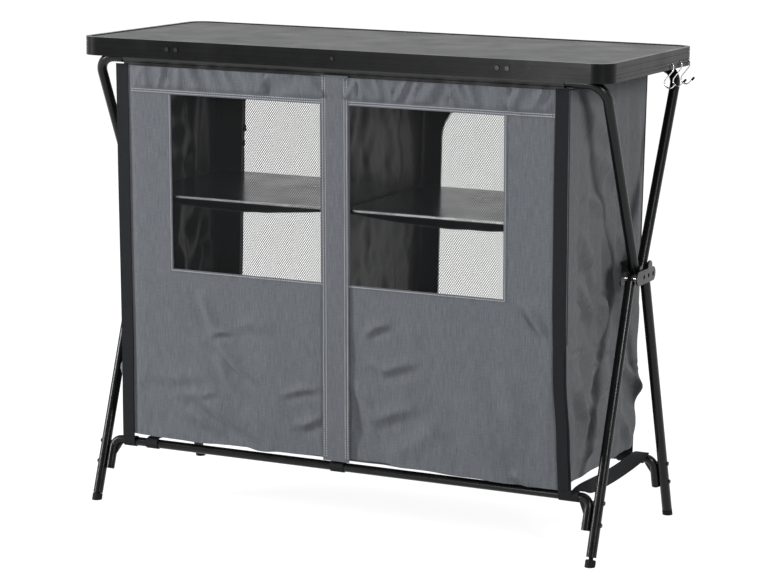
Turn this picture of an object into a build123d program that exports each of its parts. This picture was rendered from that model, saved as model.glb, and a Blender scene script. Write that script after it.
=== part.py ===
"""A folding camping cupboard: a worktop on a folding tube frame that carries a cloth cabinet.

+X runs to the right along the worktop, +Y runs from the side with the net windows to the
side with the doors, and +Z is up. The origin is on the floor, under the worktop's centre.
"""

import os
from math import atan2, cos, degrees, sin, sqrt, tan

from build123d import *

# Overall sizes, in millimetres
HEIGHT = 860.0
WIDTH = 1018.0
DEPTH = 430.0

# Worktop
APRON_HEIGHT = 33.0
APRON_WALL = 2.5
APRON_CORNER = 34.0
GROOVE_HEIGHTS = (7.0, 13.0, 24.0)
GROOVE_WIDTH = 1.6
GROOVE_DEPTH = 0.8
LIP_WIDTH = 9.0
LIP_RISE = 1.5
LIP_GRIP = 1.0
LEDGE_WIDTH = 12.0
LEDGE_THICKNESS = 2.0
BOARD_THICKNESS = 6.0
BOARD_GAP = 0.3
BRACE_INSET = 191.0
BRACE_WIDTH = 36.0
BRACE_HEIGHT = 17.0
BRACE_WALL = 2.0
CENTRE_BRACE_WIDTH = 16.0
SCREW_PITCH = 18.0
SCREW_RISE = 18.0
SCREW_HEAD = 8.0
SCREW_HEAD_HEIGHT = 2.0
SCREW_SHANK = 3.2
SCREW_LENGTH = 14.0
RIVET_HEAD = 6.0
RIVET_SHANK = 3.2

# Wire hooks in the right side of the apron
HOOK_END_INSET = 35.0
HOOK_PITCH = 44.0
HOOK_COUNT = 3
HOOK_SLOT_RISE = 10.0
HOOK_SLOT_WIDTH = 9.0
HOOK_SLOT_HALF_HEIGHT = 1.7
HOOK_WIRE = 2.5
HOOK_LOOP_RADIUS = 4.2
HOOK_LOOP_TURN = 178.0
HOOK_NECK = 5.0
HOOK_LEAN_RADIUS = 5.0
HOOK_LEAN_TURN = 38.0
HOOK_SHANK = 20.0
HOOK_BEND_RADIUS = 9.0
HOOK_BEND_TURN = 176.0
HOOK_RISE = 6.0
HOOK_TIP = 4.0
HOOK_TIP_LENGTH = 7.0
HOOK_TIP_ROUND = 1.7

# Frame tubes
TUBE = 18.0
TUBE_WALL = 1.2
CROSS_TUBE = 16.0
FRAME_INSET = 19.0
FOOT_INSET = 18.0
TOP_RUN_INSET = 35.0
UPPER_BEND = 34.0
CROSS_Z = 110.0
CROSS_END_Z = 57.0
CROSS_BEND = 16.0
GUSSET_ALONG = 12.0
GUSSET_DOWN = 24.0
GUSSET_THICKNESS = 3.0
LEG_BOLT_Z = (104.0, 68.0)
LEG_BOLT = 5.0
LEG_BOLT_HEAD = 8.0
LEG_BOLT_HEAD_HEIGHT = 2.5
LEG_BOLT_ROUND = 1.8
BOLT_CLEARANCE = 0.1

# Knuckles that join the upper and the lower frames
KNUCKLE_Z = 475.0
LOWER_PIN_Y = 34.0
UPPER_PIN_Y = 19.0
UPPER_PIN_RISE = 15.0
PLATE_THICKNESS = 3.0
PLATE_GAP = 27.0
PLATE_HOLE = 8.0
OUTER_PLATE_HEIGHT = 25.0
OUTER_HOLE_Y = 11.3
NECK_WIDTH = 20.0
NECK_FLARE = 13.0
INNER_PLATE_LENGTH = 90.0
INNER_PLATE_HEIGHT = 44.0
INNER_PLATE_CORNER = 8.0
PIN = 6.0
PIN_CLEARANCE = 0.05
PIN_RECESS = 1.5
EYE_WIDTH = 8.0
EYE_RADIUS = 7.5
EYE_TUBE_GAP = 6.0
EYE_BLOCK_LENGTH = 14.0
WASHER = 13.0
WASHER_GAP = 0.1
NUT_ACROSS = 10.0
NUT_HEIGHT = 4.0

# Screw feet
FOOT = 18.5
FOOT_HEIGHT = 12.0
FOOT_ROUND = 2.5
STUD = 8.0
STUD_LENGTH = 26.0
STUD_CLEARANCE = 0.1
FOOT_PLUG_LENGTH = 24.0
FOOT_UNSCREWED = {"front_left": 0.4, "front_right": 4.0, "back_left": 0.4, "back_right": 0.4}

# Cloth cabinet
CABINET_INSET = 73.5
CABINET_SHIFT = -6.5
CLOTH = 1.2
CLOTH_GAP = 0.3
HEM_CLOTH = 0.8
HEM_END_INSET = 10.0
HEM_TAIL = 13.0
FLOOR_Z = 127.0
WEBBING = 1.5
CORNER_STRAP_WIDTH = 24.0
SPREAD_BAND_WIDTH = 24.0
SPREAD_LOOP_WIDTH = 13.5
SPREAD_STRAP_INSETS = (131.0, 68.7)
CENTRE_LOOP_WIDTH = 26.0
CENTRE_LOOP_X = -9.0
SEAM_BAND_WIDTH = 52.0
SEAM_BAND_CLOTH = 0.8
WINDOW_INNER_X = 28.5
WINDOW_BORDER = 112.0
WINDOW_DROP = 98.0
WINDOW_HEIGHT = 317.0
NET_THICKNESS = 0.8
NET_CELLS = 17
NET_STRAND = 2.0
DOOR_INNER_X = 35.5
DOOR_BORDER = 50.0
DOOR_LOW_Z = 150.0
DOOR_DROP = 115.0
DOOR_CORNER = 80.0
DOOR_ROLL = 21.0
FRONT_FOLDS = 4
FRONT_FOLD_TOP = 0.3
FRONT_FOLD_LOW = 3.0
SIDE_FOLDS = 7
SIDE_FOLD_TOP = 1.5
SIDE_FOLD_LOW = 7.0
ZIP_PULL_LENGTH = 62.0
ZIP_PULL_CORD = 3.0
ZIP_SLIDER = (5.0, 3.0, 11.0)
ZIP_SLIDER_DROP = 22.0

# Shelves
SHELF_TOP_Z = 578.0
SHELF_THICKNESS = 4.0
SHELF_FRONT_INSET = 41.0
SHELF_BACK_INSET = 39.0
SHELF_SIDE_GAP = 9.0
SHELF_CORNER = 45.0
SHELF_TRIM_DEPTH = 3.0
SHELF_TRIM_HEIGHT = 4.0
SLING_SAG = 14.0
REST_GAP = 0.02

# How far a cutting shape runs past what it cuts
OVERRUN = 1.0

# Places worked out from the sizes above
TUBE_R = TUBE / 2
CROSS_R = CROSS_TUBE / 2
FRAME_X = WIDTH / 2 - FRAME_INSET
BRACE_X = WIDTH / 2 - BRACE_INSET
SIDES = {"left": -1, "right": 1}
ENDS = {"front": -1, "back": 1}

APRON_Z = HEIGHT - APRON_HEIGHT
BOARD_TOP_Z = HEIGHT - LIP_RISE
BOARD_Z = BOARD_TOP_Z - BOARD_THICKNESS
LEDGE_Z = BOARD_Z - LEDGE_THICKNESS
BRACE_Z = LEDGE_Z - BRACE_HEIGHT
SCREW_Z = APRON_Z + SCREW_RISE

HEM_INNER_R = TUBE_R + CLOTH_GAP
HEM_R = HEM_INNER_R + HEM_CLOTH
TOP_RUN_Z = BRACE_Z - CLOTH_GAP - HEM_R
TOP_RUN_Y = DEPTH / 2 - TOP_RUN_INSET
FOOT_Y = DEPTH / 2 - FOOT_INSET
UPPER_PIN_Z = KNUCKLE_Z + UPPER_PIN_RISE
LOWER_TILT = atan2(FOOT_Y - LOWER_PIN_Y, KNUCKLE_Z)
UPPER_TILT = atan2(TOP_RUN_Y - UPPER_PIN_Y, TOP_RUN_Z - UPPER_PIN_Z)
UPPER_LENGTH = (TOP_RUN_Z - UPPER_PIN_Z) / cos(UPPER_TILT)

CROSS_X = FRAME_X - TUBE_R - CROSS_R
CROSS_Y = LOWER_PIN_Y + (KNUCKLE_Z - CROSS_Z) * tan(LOWER_TILT)
LOOP_INNER_R = CROSS_R + CLOTH_GAP
LOOP_R = LOOP_INNER_R + WEBBING

PLATE_IN_X = FRAME_X - PLATE_GAP / 2
PLATE_OUT_X = FRAME_X + PLATE_GAP / 2

CABINET_X = WIDTH / 2 - CABINET_INSET
HEM_HALF_LENGTH = CABINET_X - HEM_END_INSET
SPREAD_STRAP_X = (SPREAD_STRAP_INSETS[0] - WIDTH / 2, WIDTH / 2 - SPREAD_STRAP_INSETS[1])
WINDOW_OUTER_X = CABINET_X - WINDOW_BORDER
WINDOW_TOP_Z = HEIGHT - WINDOW_DROP
WINDOW_LOW_Z = WINDOW_TOP_Z - WINDOW_HEIGHT
DOOR_OUTER_X = CABINET_X - DOOR_BORDER
DOOR_TOP_Z = HEIGHT - DOOR_DROP
SHELF_FRONT_Y = DEPTH / 2 - SHELF_FRONT_INSET
SHELF_BACK_Y = DEPTH / 2 - SHELF_BACK_INSET
WALL_TOP_Z = TOP_RUN_Z + HEM_CLOTH - HEM_TAIL
WALL_LOW_Z = FLOOR_Z + CLOTH + CLOTH_GAP
FRONT_PANEL_X = CABINET_X - CORNER_STRAP_WIDTH - CLOTH_GAP
SIDE_INNER_X = CABINET_X - CLOTH
SEAM_GAP = CLOTH / 2
SEAM_BAND_LIFT = FRONT_FOLD_LOW / 2 + SEAM_BAND_CLOTH + CLOTH_GAP


def wall_y(z):
    """Distance of the front and back walls' outer faces from the middle plane, at height z."""
    top_y = TOP_RUN_Y + HEM_R
    low_y = CROSS_Y + LOOP_R
    share = (z - CROSS_Z) / (TOP_RUN_Z - CROSS_Z)
    return low_y + (top_y - low_y) * share


WALL_TILT = atan2(wall_y(TOP_RUN_Z) - wall_y(CROSS_Z), TOP_RUN_Z - CROSS_Z)


def block(x_range, y_range, z_range):
    """A box between two corners."""
    lows = [min(r) for r in (x_range, y_range, z_range)]
    highs = [max(r) for r in (x_range, y_range, z_range)]
    size = [high - low for low, high in zip(lows, highs)]
    return Pos(*lows) * Box(*size, align=(Align.MIN,) * 3)


def rod(start, end, diameter):
    """A round rod from start to end."""
    along = Vector(*end) - Vector(*start)
    plane = Plane(origin=start, z_dir=along)
    return plane * Cylinder(diameter / 2, along.length, align=(Align.CENTER, Align.CENTER, Align.MIN))


def cross_rod(x_start, x_end, y, z, diameter):
    """A round rod along X."""
    return rod((x_start, y, z), (x_end, y, z), diameter)


def swept_tube(path, diameter, wall):
    """A hollow tube along a path that lies in one plane."""
    outer = sweep((path ^ 0) * Circle(diameter / 2), path=path)
    inner = sweep((path ^ 0) * Circle(diameter / 2 - wall), path=path)
    return outer - inner


def looped(sheet, y, z, inner_r, outer_r, x_range):
    """A sheet joined to a loop of the same cloth round a tube along X."""
    low, high = sorted(x_range)
    joined = sheet + cross_rod(low, high, y, z, 2 * outer_r)
    return joined - cross_rod(low - OVERRUN, high + OVERRUN, y, z, 2 * inner_r)


def leg_point(end, distance):
    """A point on a lower leg's centre line, in Y and Z, at a distance below its hinge pin."""
    y = LOWER_PIN_Y + distance * sin(LOWER_TILT)
    return end * y, KNUCKLE_Z - distance * cos(LOWER_TILT)


def leg_distance(z):
    """How far along a lower leg from its hinge pin the height z is."""
    return (KNUCKLE_Z - z) / cos(LOWER_TILT)


def leg_plane(end):
    """The plane of a lower frame: its X is the row's X and its Y runs down the leg."""
    down = Vector(0, end * sin(LOWER_TILT), -cos(LOWER_TILT))
    return Plane((0, end * LOWER_PIN_Y, KNUCKLE_Z), x_dir=(1, 0, 0), z_dir=Vector(1, 0, 0).cross(down))


def upper_plane(end):
    """The plane of an upper frame: its X is the row's X and its Y runs up the tube."""
    up = Vector(0, end * sin(UPPER_TILT), cos(UPPER_TILT))
    return Plane((0, end * UPPER_PIN_Y, UPPER_PIN_Z), x_dir=(1, 0, 0), z_dir=Vector(1, 0, 0).cross(up))


def wall_plane(end):
    """The plane of the front or back wall's outer face: its X is the row's X, its Y runs up."""
    up = Vector(0, end * sin(WALL_TILT), cos(WALL_TILT))
    return Plane((0, end * wall_y(CROSS_Z), CROSS_Z), x_dir=(1, 0, 0), z_dir=Vector(1, 0, 0).cross(up))


def wall_height(z):
    """A height measured along the sloping front or back wall."""
    return (z - CROSS_Z) / cos(WALL_TILT)


def wall_sheet(outline, end, thickness, depth=0.0):
    """A sheet in the front or back wall, at a depth inside the wall's outer face."""
    sheet = extrude(wall_plane(end) * outline, amount=thickness, dir=inward(end))
    return Pos(*(inward(end) * depth)) * sheet


def inward(end):
    """The direction from the front or back wall into the cabinet."""
    return Vector(0, -end * cos(WALL_TILT), sin(WALL_TILT))


def fold_edge(start, stop, count, depth, base):
    """The arcs of a folded cloth's edge, from start to stop, as points of a running curve."""
    step = (stop - start) / count
    points = []
    for index in range(count):
        bulge = depth / 2 if index % 2 == 0 else -depth / 2
        low = start + index * step
        points.append(((low, base), (low + step / 2, base + bulge), (low + step, base)))
    return points


def folded_face(start, stop, count, depth, base, thickness, z, along_x):
    """A cloth's cut at height z, whose folds run up and down."""
    def place(point, shift):
        across = point[1] + shift
        return (point[0], across, z) if along_x else (across, point[0], z)

    arcs = fold_edge(start, stop, count, depth, base)
    near = [ThreePointArc(*(place(p, 0) for p in arc)) for arc in arcs]
    far = [ThreePointArc(*(place(p, thickness) for p in arc)) for arc in arcs]
    first = Line(place(arcs[0][0], 0), place(arcs[0][0], thickness))
    last = Line(place(arcs[-1][2], 0), place(arcs[-1][2], thickness))
    return make_face(Wire(near + [last] + far + [first]))


# Worktop

def top_ring(outer_inset, inner_inset, z_low, z_high):
    """A rounded ring that follows the worktop's edge, between two heights."""
    def outline(inset):
        return RectangleRounded(WIDTH - 2 * inset, DEPTH - 2 * inset, APRON_CORNER - inset)

    ring = outline(outer_inset) - outline(inner_inset)
    return Pos(0, 0, z_low) * extrude(ring, amount=z_high - z_low)


def hook_centre_y(index):
    return DEPTH / 2 - HOOK_END_INSET - (HOOK_COUNT - 1 - index) * HOOK_PITCH


def hook_pivot():
    """The centre of a hook's loop, in X and Z: the middle of the wall, under the slot."""
    slot_z = APRON_Z + HOOK_SLOT_RISE
    return WIDTH / 2 - APRON_WALL / 2, slot_z - HOOK_LOOP_RADIUS


def screw_places():
    """The X of each apron screw."""
    return [side * BRACE_X + half * SCREW_PITCH / 2 for side in (-1, 1) for half in (-1, 1)]


def edge_profile():
    wall = top_ring(0, APRON_WALL, APRON_Z, HEIGHT)
    lip = top_ring(0, LIP_WIDTH, BOARD_TOP_Z - LIP_GRIP, HEIGHT)
    ledge = top_ring(0, LEDGE_WIDTH, LEDGE_Z, BOARD_Z)
    profile = wall + lip + ledge
    for rise in GROOVE_HEIGHTS:
        low = APRON_Z + rise - GROOVE_WIDTH / 2
        profile -= top_ring(-1, GROOVE_DEPTH, low, low + GROOVE_WIDTH)
    pivot_x, pivot_z = hook_pivot()
    slot_z = pivot_z + HOOK_LOOP_RADIUS
    slot_height = (slot_z - HOOK_SLOT_HALF_HEIGHT, slot_z + HOOK_SLOT_HALF_HEIGHT)
    for index in range(HOOK_COUNT):
        y = hook_centre_y(index)
        half = HOOK_SLOT_WIDTH / 2
        profile -= block((pivot_x - APRON_WALL, pivot_x + APRON_WALL), (y - half, y + half), slot_height)
    for end in ENDS.values():
        for x in screw_places():
            profile -= apron_hole(x, end, SCREW_SHANK)
        profile -= apron_hole(0, end, RIVET_SHANK)
    return profile


def apron_hole(x, end, shank):
    y = end * DEPTH / 2
    hole = shank + 2 * BOLT_CLEARANCE
    return rod((x, y - end * 2 * APRON_WALL, SCREW_Z), (x, y + end, SCREW_Z), hole)


def worktop_board():
    """The board, rebated all round where the rim of the apron grips it."""
    def layer(inset, z_low, z_high):
        outline = RectangleRounded(WIDTH - 2 * inset, DEPTH - 2 * inset, APRON_CORNER - inset)
        return Pos(0, 0, z_low) * extrude(outline, amount=z_high - z_low)

    grip_z = BOARD_TOP_Z - LIP_GRIP
    return layer(APRON_WALL + BOARD_GAP, BOARD_Z, grip_z) + layer(LIP_WIDTH + BOARD_GAP, grip_z, BOARD_TOP_Z)


def brace(x, width, ports):
    """A hollow bar under the board, with a round screw port for each fastener."""
    half = DEPTH / 2 - APRON_WALL
    bar = block((x - width / 2, x + width / 2), (-half, half), (BRACE_Z, LEDGE_Z))
    for port in ports:
        bar -= rod((port, -half, SCREW_Z), (port, half, SCREW_Z), SCREW_SHANK + 2 * BOLT_CLEARANCE)
    chamber = BRACE_HEIGHT - 2 * BRACE_WALL - SCREW_HEAD
    low = BRACE_Z + BRACE_WALL
    inner = width / 2 - BRACE_WALL
    return bar - block((x - inner, x + inner), (-half, half), (low, low + chamber))


def fastener(x, end, head, head_height, shank):
    """A round-headed screw or rivet through the apron into a brace's port."""
    face = end * DEPTH / 2
    dome = rod((x, face, SCREW_Z), (x, face + end * head_height, SCREW_Z), head)
    body = rod((x, face, SCREW_Z), (x, face - end * SCREW_LENGTH, SCREW_Z), shank)
    return dome + body


def apron_screws():
    return [
        fastener(x, end, SCREW_HEAD, SCREW_HEAD_HEIGHT, SCREW_SHANK)
        for end in ENDS.values()
        for x in screw_places()
    ]


def apron_rivets():
    return [
        fastener(0, end, RIVET_HEAD, SCREW_HEAD_HEIGHT, RIVET_SHANK) for end in ENDS.values()
    ]


# Wire hooks

def hook_plane(index):
    pivot_x, pivot_z = hook_pivot()
    return Plane((pivot_x, hook_centre_y(index), pivot_z), x_dir=(1, 0, 0), z_dir=(0, -1, 0))


def hook_path():
    """The wire's line in the hook's own plane, from the loop inside the apron to the tip.

    It leaves the slot downwards, leans inwards under the apron and turns back up and out.
    """
    r = HOOK_LOOP_RADIUS
    loop = CenterArc((0, 0), r, 0, HOOK_LOOP_TURN)
    neck = Line((r, 0), (r, -HOOK_NECK))
    lean = JernArc(neck @ 1, neck % 1, HOOK_LEAN_RADIUS, -HOOK_LEAN_TURN)
    shank = Line(lean @ 1, lean @ 1 + (lean % 1) * HOOK_SHANK)
    bend = JernArc(shank @ 1, shank % 1, HOOK_BEND_RADIUS, HOOK_BEND_TURN)
    rise = Line(bend @ 1, bend @ 1 + (bend % 1) * HOOK_RISE)
    return [loop, neck, lean, shank, bend, rise]


def hook_wire(index):
    path = Wire(hook_path())
    wire = sweep((path ^ 0) * Circle(HOOK_WIRE / 2), path=path)
    return hook_plane(index) * wire


def hook_tip(index):
    """The rubber cap on the end of a hook, beyond the wire's cut end."""
    rise = hook_path()[-1]
    start = rise @ 1
    direction = rise % 1
    plane = Plane(start, z_dir=direction)
    length = HOOK_TIP_LENGTH
    cap = plane * Cylinder(HOOK_TIP / 2, length, align=(Align.CENTER, Align.CENTER, Align.MIN))
    cap = fillet(cap.edges().group_by(Axis(start, direction))[-1], HOOK_TIP_ROUND)
    return hook_plane(index) * cap


# Upper frames

def upper_frame(end):
    """The bent tube under one long edge of the worktop, with both its arms."""
    points = [
        (-FRAME_X, -TUBE_R),
        (-FRAME_X, UPPER_LENGTH),
        (FRAME_X, UPPER_LENGTH),
        (FRAME_X, -TUBE_R),
    ]
    path = FilletPolyline(*points, radius=UPPER_BEND)
    tube = upper_plane(end) * swept_tube(path, TUBE, TUBE_WALL)
    reach = TUBE_R + OVERRUN
    for side in SIDES.values():
        x = side * FRAME_X
        hole = cross_rod(x - reach, x + reach, end * UPPER_PIN_Y, UPPER_PIN_Z, PIN + 2 * PIN_CLEARANCE)
        tube -= hole
    return tube


# Lower frames

def foot_key(end_name, side_name):
    return f"{end_name}_{side_name}"


def tube_end_distance(key):
    """How far below the hinge pin a leg's tube stops, above its foot."""
    floor_distance = leg_distance(0)
    return floor_distance - FOOT_HEIGHT - FOOT_UNSCREWED[key]


def leg(end, side, key):
    """One lower leg: a tube with an eye at its top, and a threaded plug at its foot."""
    x = side * FRAME_X
    start = leg_point(end, EYE_TUBE_GAP)
    stop = leg_point(end, tube_end_distance(key))
    tube = rod((x, *start), (x, *stop), TUBE)
    tube -= rod((x, *start), (x, *stop), TUBE - 2 * TUBE_WALL)
    block_stop = leg_point(end, EYE_TUBE_GAP + EYE_BLOCK_LENGTH)
    tube += rod((x, *start), (x, *block_stop), TUBE - TUBE_WALL)
    tube += leg_eye(end, x)
    y, z = end * LOWER_PIN_Y, KNUCKLE_Z
    tube -= cross_rod(x - TUBE, x + TUBE, y, z, PIN + 2 * PIN_CLEARANCE)
    for bolt_z in LEG_BOLT_Z:
        bolt_y, _ = leg_point(end, leg_distance(bolt_z))
        tube -= cross_rod(x - TUBE, x + TUBE, bolt_y, bolt_z, LEG_BOLT + 2 * BOLT_CLEARANCE)
    thread_start = leg_point(end, tube_end_distance(key) - FOOT_PLUG_LENGTH)
    plug = rod((x, *thread_start), (x, *stop), TUBE - 2 * TUBE_WALL)
    plug -= rod((x, *thread_start), (x, *stop), STUD + 2 * STUD_CLEARANCE)
    return [tube, plug]


def leg_eye(end, x):
    """The flat eye that stands out of a leg's top and turns on the hinge pin."""
    reach = EYE_TUBE_GAP + EYE_BLOCK_LENGTH / 2
    outline = Circle(EYE_RADIUS) + Pos(0, reach / 2) * Rectangle(2 * EYE_RADIUS, reach)
    across = (0, -end * cos(LOWER_TILT), -sin(LOWER_TILT))
    plane = Plane((x, end * LOWER_PIN_Y, KNUCKLE_Z), x_dir=across, z_dir=(end, 0, 0))
    return extrude(plane * outline, amount=EYE_WIDTH / 2, both=True)


def cross_tube(end):
    """The tube between two legs, with its bent ends and a gusset in each bend."""
    run = leg_distance(CROSS_Z)
    low = leg_distance(CROSS_END_Z)
    points = [(-CROSS_X, low), (-CROSS_X, run), (CROSS_X, run), (CROSS_X, low)]
    path = FilletPolyline(*points, radius=CROSS_BEND)
    filled = sweep((path ^ 0) * Circle(CROSS_R), path=path)
    gussets = []
    for side in SIDES.values():
        corner_x = side * (CROSS_X - CROSS_R + TUBE_WALL)
        corner_y = run + CROSS_R - TUBE_WALL
        outline = Polygon(
            (corner_x, corner_y),
            (corner_x - side * GUSSET_ALONG, corner_y),
            (corner_x, corner_y + GUSSET_DOWN),
            align=None,
        )
        gussets.append(extrude(outline, amount=GUSSET_THICKNESS / 2, both=True) - filled)
    tube = swept_tube(path, CROSS_TUBE, TUBE_WALL)
    for gusset in gussets:
        tube += gusset
    tube = leg_plane(end) * tube
    for side in SIDES.values():
        x = side * FRAME_X
        for bolt_z in LEG_BOLT_Z:
            bolt_y, _ = leg_point(end, leg_distance(bolt_z))
            tube -= cross_rod(x, side * leg_bolt_end(), bolt_y, bolt_z, LEG_BOLT + 2 * BOLT_CLEARANCE)
    return tube


def leg_bolt_end():
    """How near the middle a leg bolt's hole reaches: just past the cross tube's inner wall."""
    return CROSS_X - CROSS_R - OVERRUN


def leg_bolts(end):
    """Round-headed bolts through each leg into the cross tube's bent end."""
    bolts = []
    for side in SIDES.values():
        for bolt_z in LEG_BOLT_Z:
            y, _ = leg_point(end, leg_distance(bolt_z))
            face = side * (FRAME_X + TUBE_R)
            head = cross_rod(face, face + side * LEG_BOLT_HEAD_HEIGHT, y, bolt_z, LEG_BOLT_HEAD)
            rim = head.edges().sort_by(Axis.X)[-1 if side > 0 else 0]
            head = fillet(rim, LEG_BOLT_ROUND)
            shank = cross_rod(face, side * (CROSS_X - CROSS_R), y, bolt_z, LEG_BOLT)
            bolts.append(head + shank)
    return bolts


# Screw feet

def foot(end, side):
    """A rubber foot on a threaded stud; its underside is cut flat on the floor."""
    x = side * FRAME_X
    floor_distance = leg_distance(0)
    top = leg_point(end, floor_distance - FOOT_HEIGHT)
    low = leg_point(end, floor_distance + FOOT)
    cap = rod((x, *top), (x, *low), FOOT)
    cap -= block((x - FOOT, x + FOOT), (-FOOT_Y * 2, FOOT_Y * 2), (-2 * FOOT, 0))
    cap = fillet(cap.edges().group_by(Axis.Z)[-1], FOOT_ROUND)
    stud_top = leg_point(end, floor_distance - FOOT_HEIGHT - STUD_LENGTH)
    stud_low = leg_point(end, floor_distance - FOOT_HEIGHT)
    return [cap, rod((x, *stud_top), (x, *stud_low), STUD)]


# Knuckles

def outer_plate(side):
    """The outer plate: a rounded bar with round holes, and a neck up to one arm.

    The back leg's pin stands in a recess; the front leg's pin stops inside the plate.
    """
    bar = Pos(0, KNUCKLE_Z) * SlotCenterToCenter(2 * LOWER_PIN_Y, OUTER_PLATE_HEIGHT)
    neck = Pos(UPPER_PIN_Y, (KNUCKLE_Z + UPPER_PIN_Z) / 2) * Rectangle(NECK_WIDTH, UPPER_PIN_RISE)
    crown = Pos(UPPER_PIN_Y, UPPER_PIN_Z) * Circle(NECK_WIDTH / 2)
    near_y = UPPER_PIN_Y - NECK_WIDTH / 2
    flare = Polygon((near_y - NECK_FLARE, KNUCKLE_Z), (near_y, KNUCKLE_Z), (near_y, UPPER_PIN_Z), align=None)
    outline = bar + neck + crown + flare
    for y in (-OUTER_HOLE_Y, OUTER_HOLE_Y):
        outline -= Pos(y, KNUCKLE_Z) * Circle(PLATE_HOLE / 2)
    plate = knuckle_sheet(outline, side * PLATE_OUT_X, side * PLATE_THICKNESS)
    face = side * (PLATE_OUT_X + PLATE_THICKNESS)
    bottom = face - side * PIN_RECESS
    plate -= cross_rod(face, bottom, LOWER_PIN_Y, KNUCKLE_Z, PLATE_HOLE)
    for y in (-LOWER_PIN_Y, LOWER_PIN_Y):
        near = side * (PLATE_OUT_X - PLATE_THICKNESS)
        plate -= cross_rod(near, bottom, y, KNUCKLE_Z, PIN + 2 * PIN_CLEARANCE)
    return plate - pin_hole(side, UPPER_PIN_Y, UPPER_PIN_Z)


def inner_plate(side):
    centre_z = (KNUCKLE_Z + UPPER_PIN_Z) / 2
    shape = RectangleRounded(INNER_PLATE_LENGTH, INNER_PLATE_HEIGHT, INNER_PLATE_CORNER)
    plate = knuckle_sheet(Pos(0, centre_z) * shape, side * PLATE_IN_X, -side * PLATE_THICKNESS)
    for y in (-LOWER_PIN_Y, LOWER_PIN_Y):
        plate -= pin_hole(side, y, KNUCKLE_Z)
    for y in (-UPPER_PIN_Y, UPPER_PIN_Y):
        plate -= pin_hole(side, y, UPPER_PIN_Z)
    return plate


def knuckle_sheet(outline, x, thickness):
    """An outline drawn in Y and Z, made into a plate that starts at x."""
    plane = Plane((x, 0, 0), x_dir=(0, 1, 0), z_dir=(1, 0, 0))
    return extrude(plane * outline, amount=thickness, dir=(1, 0, 0))


def pin_hole(side, y, z):
    near = side * (PLATE_IN_X - 2 * PLATE_THICKNESS)
    far = side * (PLATE_OUT_X + 2 * PLATE_THICKNESS)
    return cross_rod(near, far, y, z, PIN + 2 * PIN_CLEARANCE)


def lower_pins():
    """The bright pins that the lower legs' eyes turn on."""
    pins = []
    for side in SIDES.values():
        for end in ENDS.values():
            inner = side * (PLATE_IN_X - PLATE_THICKNESS)
            outer = side * (PLATE_OUT_X + PLATE_THICKNESS - PIN_RECESS)
            pins.append(cross_rod(inner, outer, end * LOWER_PIN_Y, KNUCKLE_Z, PIN))
    return pins


def arm_faces(side):
    """The X just inside and just outside an upper arm's tube."""
    return side * (FRAME_X - TUBE_R - WASHER_GAP), side * (FRAME_X + TUBE_R + WASHER_GAP)


def upper_pins():
    """The bolts that the upper arms turn on; the front ones end in a nut beside the tube."""
    pins = []
    for side in SIDES.values():
        inner = side * (PLATE_IN_X - PLATE_THICKNESS)
        head = inner - side * NUT_HEIGHT / 2
        outer = side * (PLATE_OUT_X + PLATE_THICKNESS)
        back = cross_rod(inner, outer, UPPER_PIN_Y, UPPER_PIN_Z, PIN)
        back += cross_rod(head, inner, UPPER_PIN_Y, UPPER_PIN_Z, NUT_ACROSS)
        _, face = arm_faces(side)
        front = cross_rod(inner, face, -UPPER_PIN_Y, UPPER_PIN_Z, PIN)
        front += cross_rod(head, inner, -UPPER_PIN_Y, UPPER_PIN_Z, NUT_ACROSS)
        nut = RegularPolygon(NUT_ACROSS / 2, 6, major_radius=False)
        placed = Pos(-UPPER_PIN_Y, UPPER_PIN_Z) * nut
        front += knuckle_sheet(placed, face, side * NUT_HEIGHT)
        pins += [back, front]
    return pins


def knuckle_washers():
    """Plain spacers between the upper arms and the plates; a nut takes the outer front place."""
    washers = []
    for side in SIDES.values():
        tube_in, tube_out = arm_faces(side)
        inner, outer = side * PLATE_IN_X, side * (PLATE_OUT_X - WASHER_GAP)
        places = [(-UPPER_PIN_Y, inner, tube_in), (UPPER_PIN_Y, inner, tube_in), (UPPER_PIN_Y, tube_out, outer)]
        for y, near, far in places:
            disc = cross_rod(near, far, y, UPPER_PIN_Z, WASHER)
            washers.append(disc - pin_hole(side, y, UPPER_PIN_Z))
    return washers


# Cloth cabinet

def corner_strap(end, side):
    """Webbing down a corner of the cabinet to a loop round the cross tube."""
    height = wall_height(WALL_TOP_Z) - CLOTH_GAP
    middle = side * (CABINET_X - CORNER_STRAP_WIDTH / 2)
    strap = wall_sheet(Pos(middle, height / 2) * Rectangle(CORNER_STRAP_WIDTH, height), end, WEBBING)
    x_range = (side * CABINET_X, side * (CABINET_X - CORNER_STRAP_WIDTH))
    return looped(strap, end * CROSS_Y, CROSS_Z, LOOP_INNER_R, LOOP_R, x_range)


def centre_loop(end):
    """A short webbing loop that ties the cabinet's floor down to the cross tube."""
    y = end * CROSS_Y
    x_range = (CENTRE_LOOP_X - CENTRE_LOOP_WIDTH / 2, CENTRE_LOOP_X + CENTRE_LOOP_WIDTH / 2)
    tab = block(x_range, (y - WEBBING / 2, y + WEBBING / 2), (CROSS_Z, FLOOR_Z - CLOTH_GAP))
    return looped(tab, y, CROSS_Z, LOOP_INNER_R, LOOP_R, x_range)


def spread_strap(x_start):
    """The webbing between the two cross tubes that stops the legs from spreading."""
    side = 1 if x_start > 0 else -1
    band_low = CROSS_Z + LOOP_INNER_R
    band_x = (x_start, x_start + side * SPREAD_BAND_WIDTH)
    strap = block(band_x, (-CROSS_Y, CROSS_Y), (band_low, band_low + WEBBING))
    loop_x = (x_start, x_start + side * SPREAD_LOOP_WIDTH)
    for end in ENDS.values():
        strap = looped(strap, end * CROSS_Y, CROSS_Z, LOOP_INNER_R, LOOP_R, loop_x)
    return strap


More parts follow.
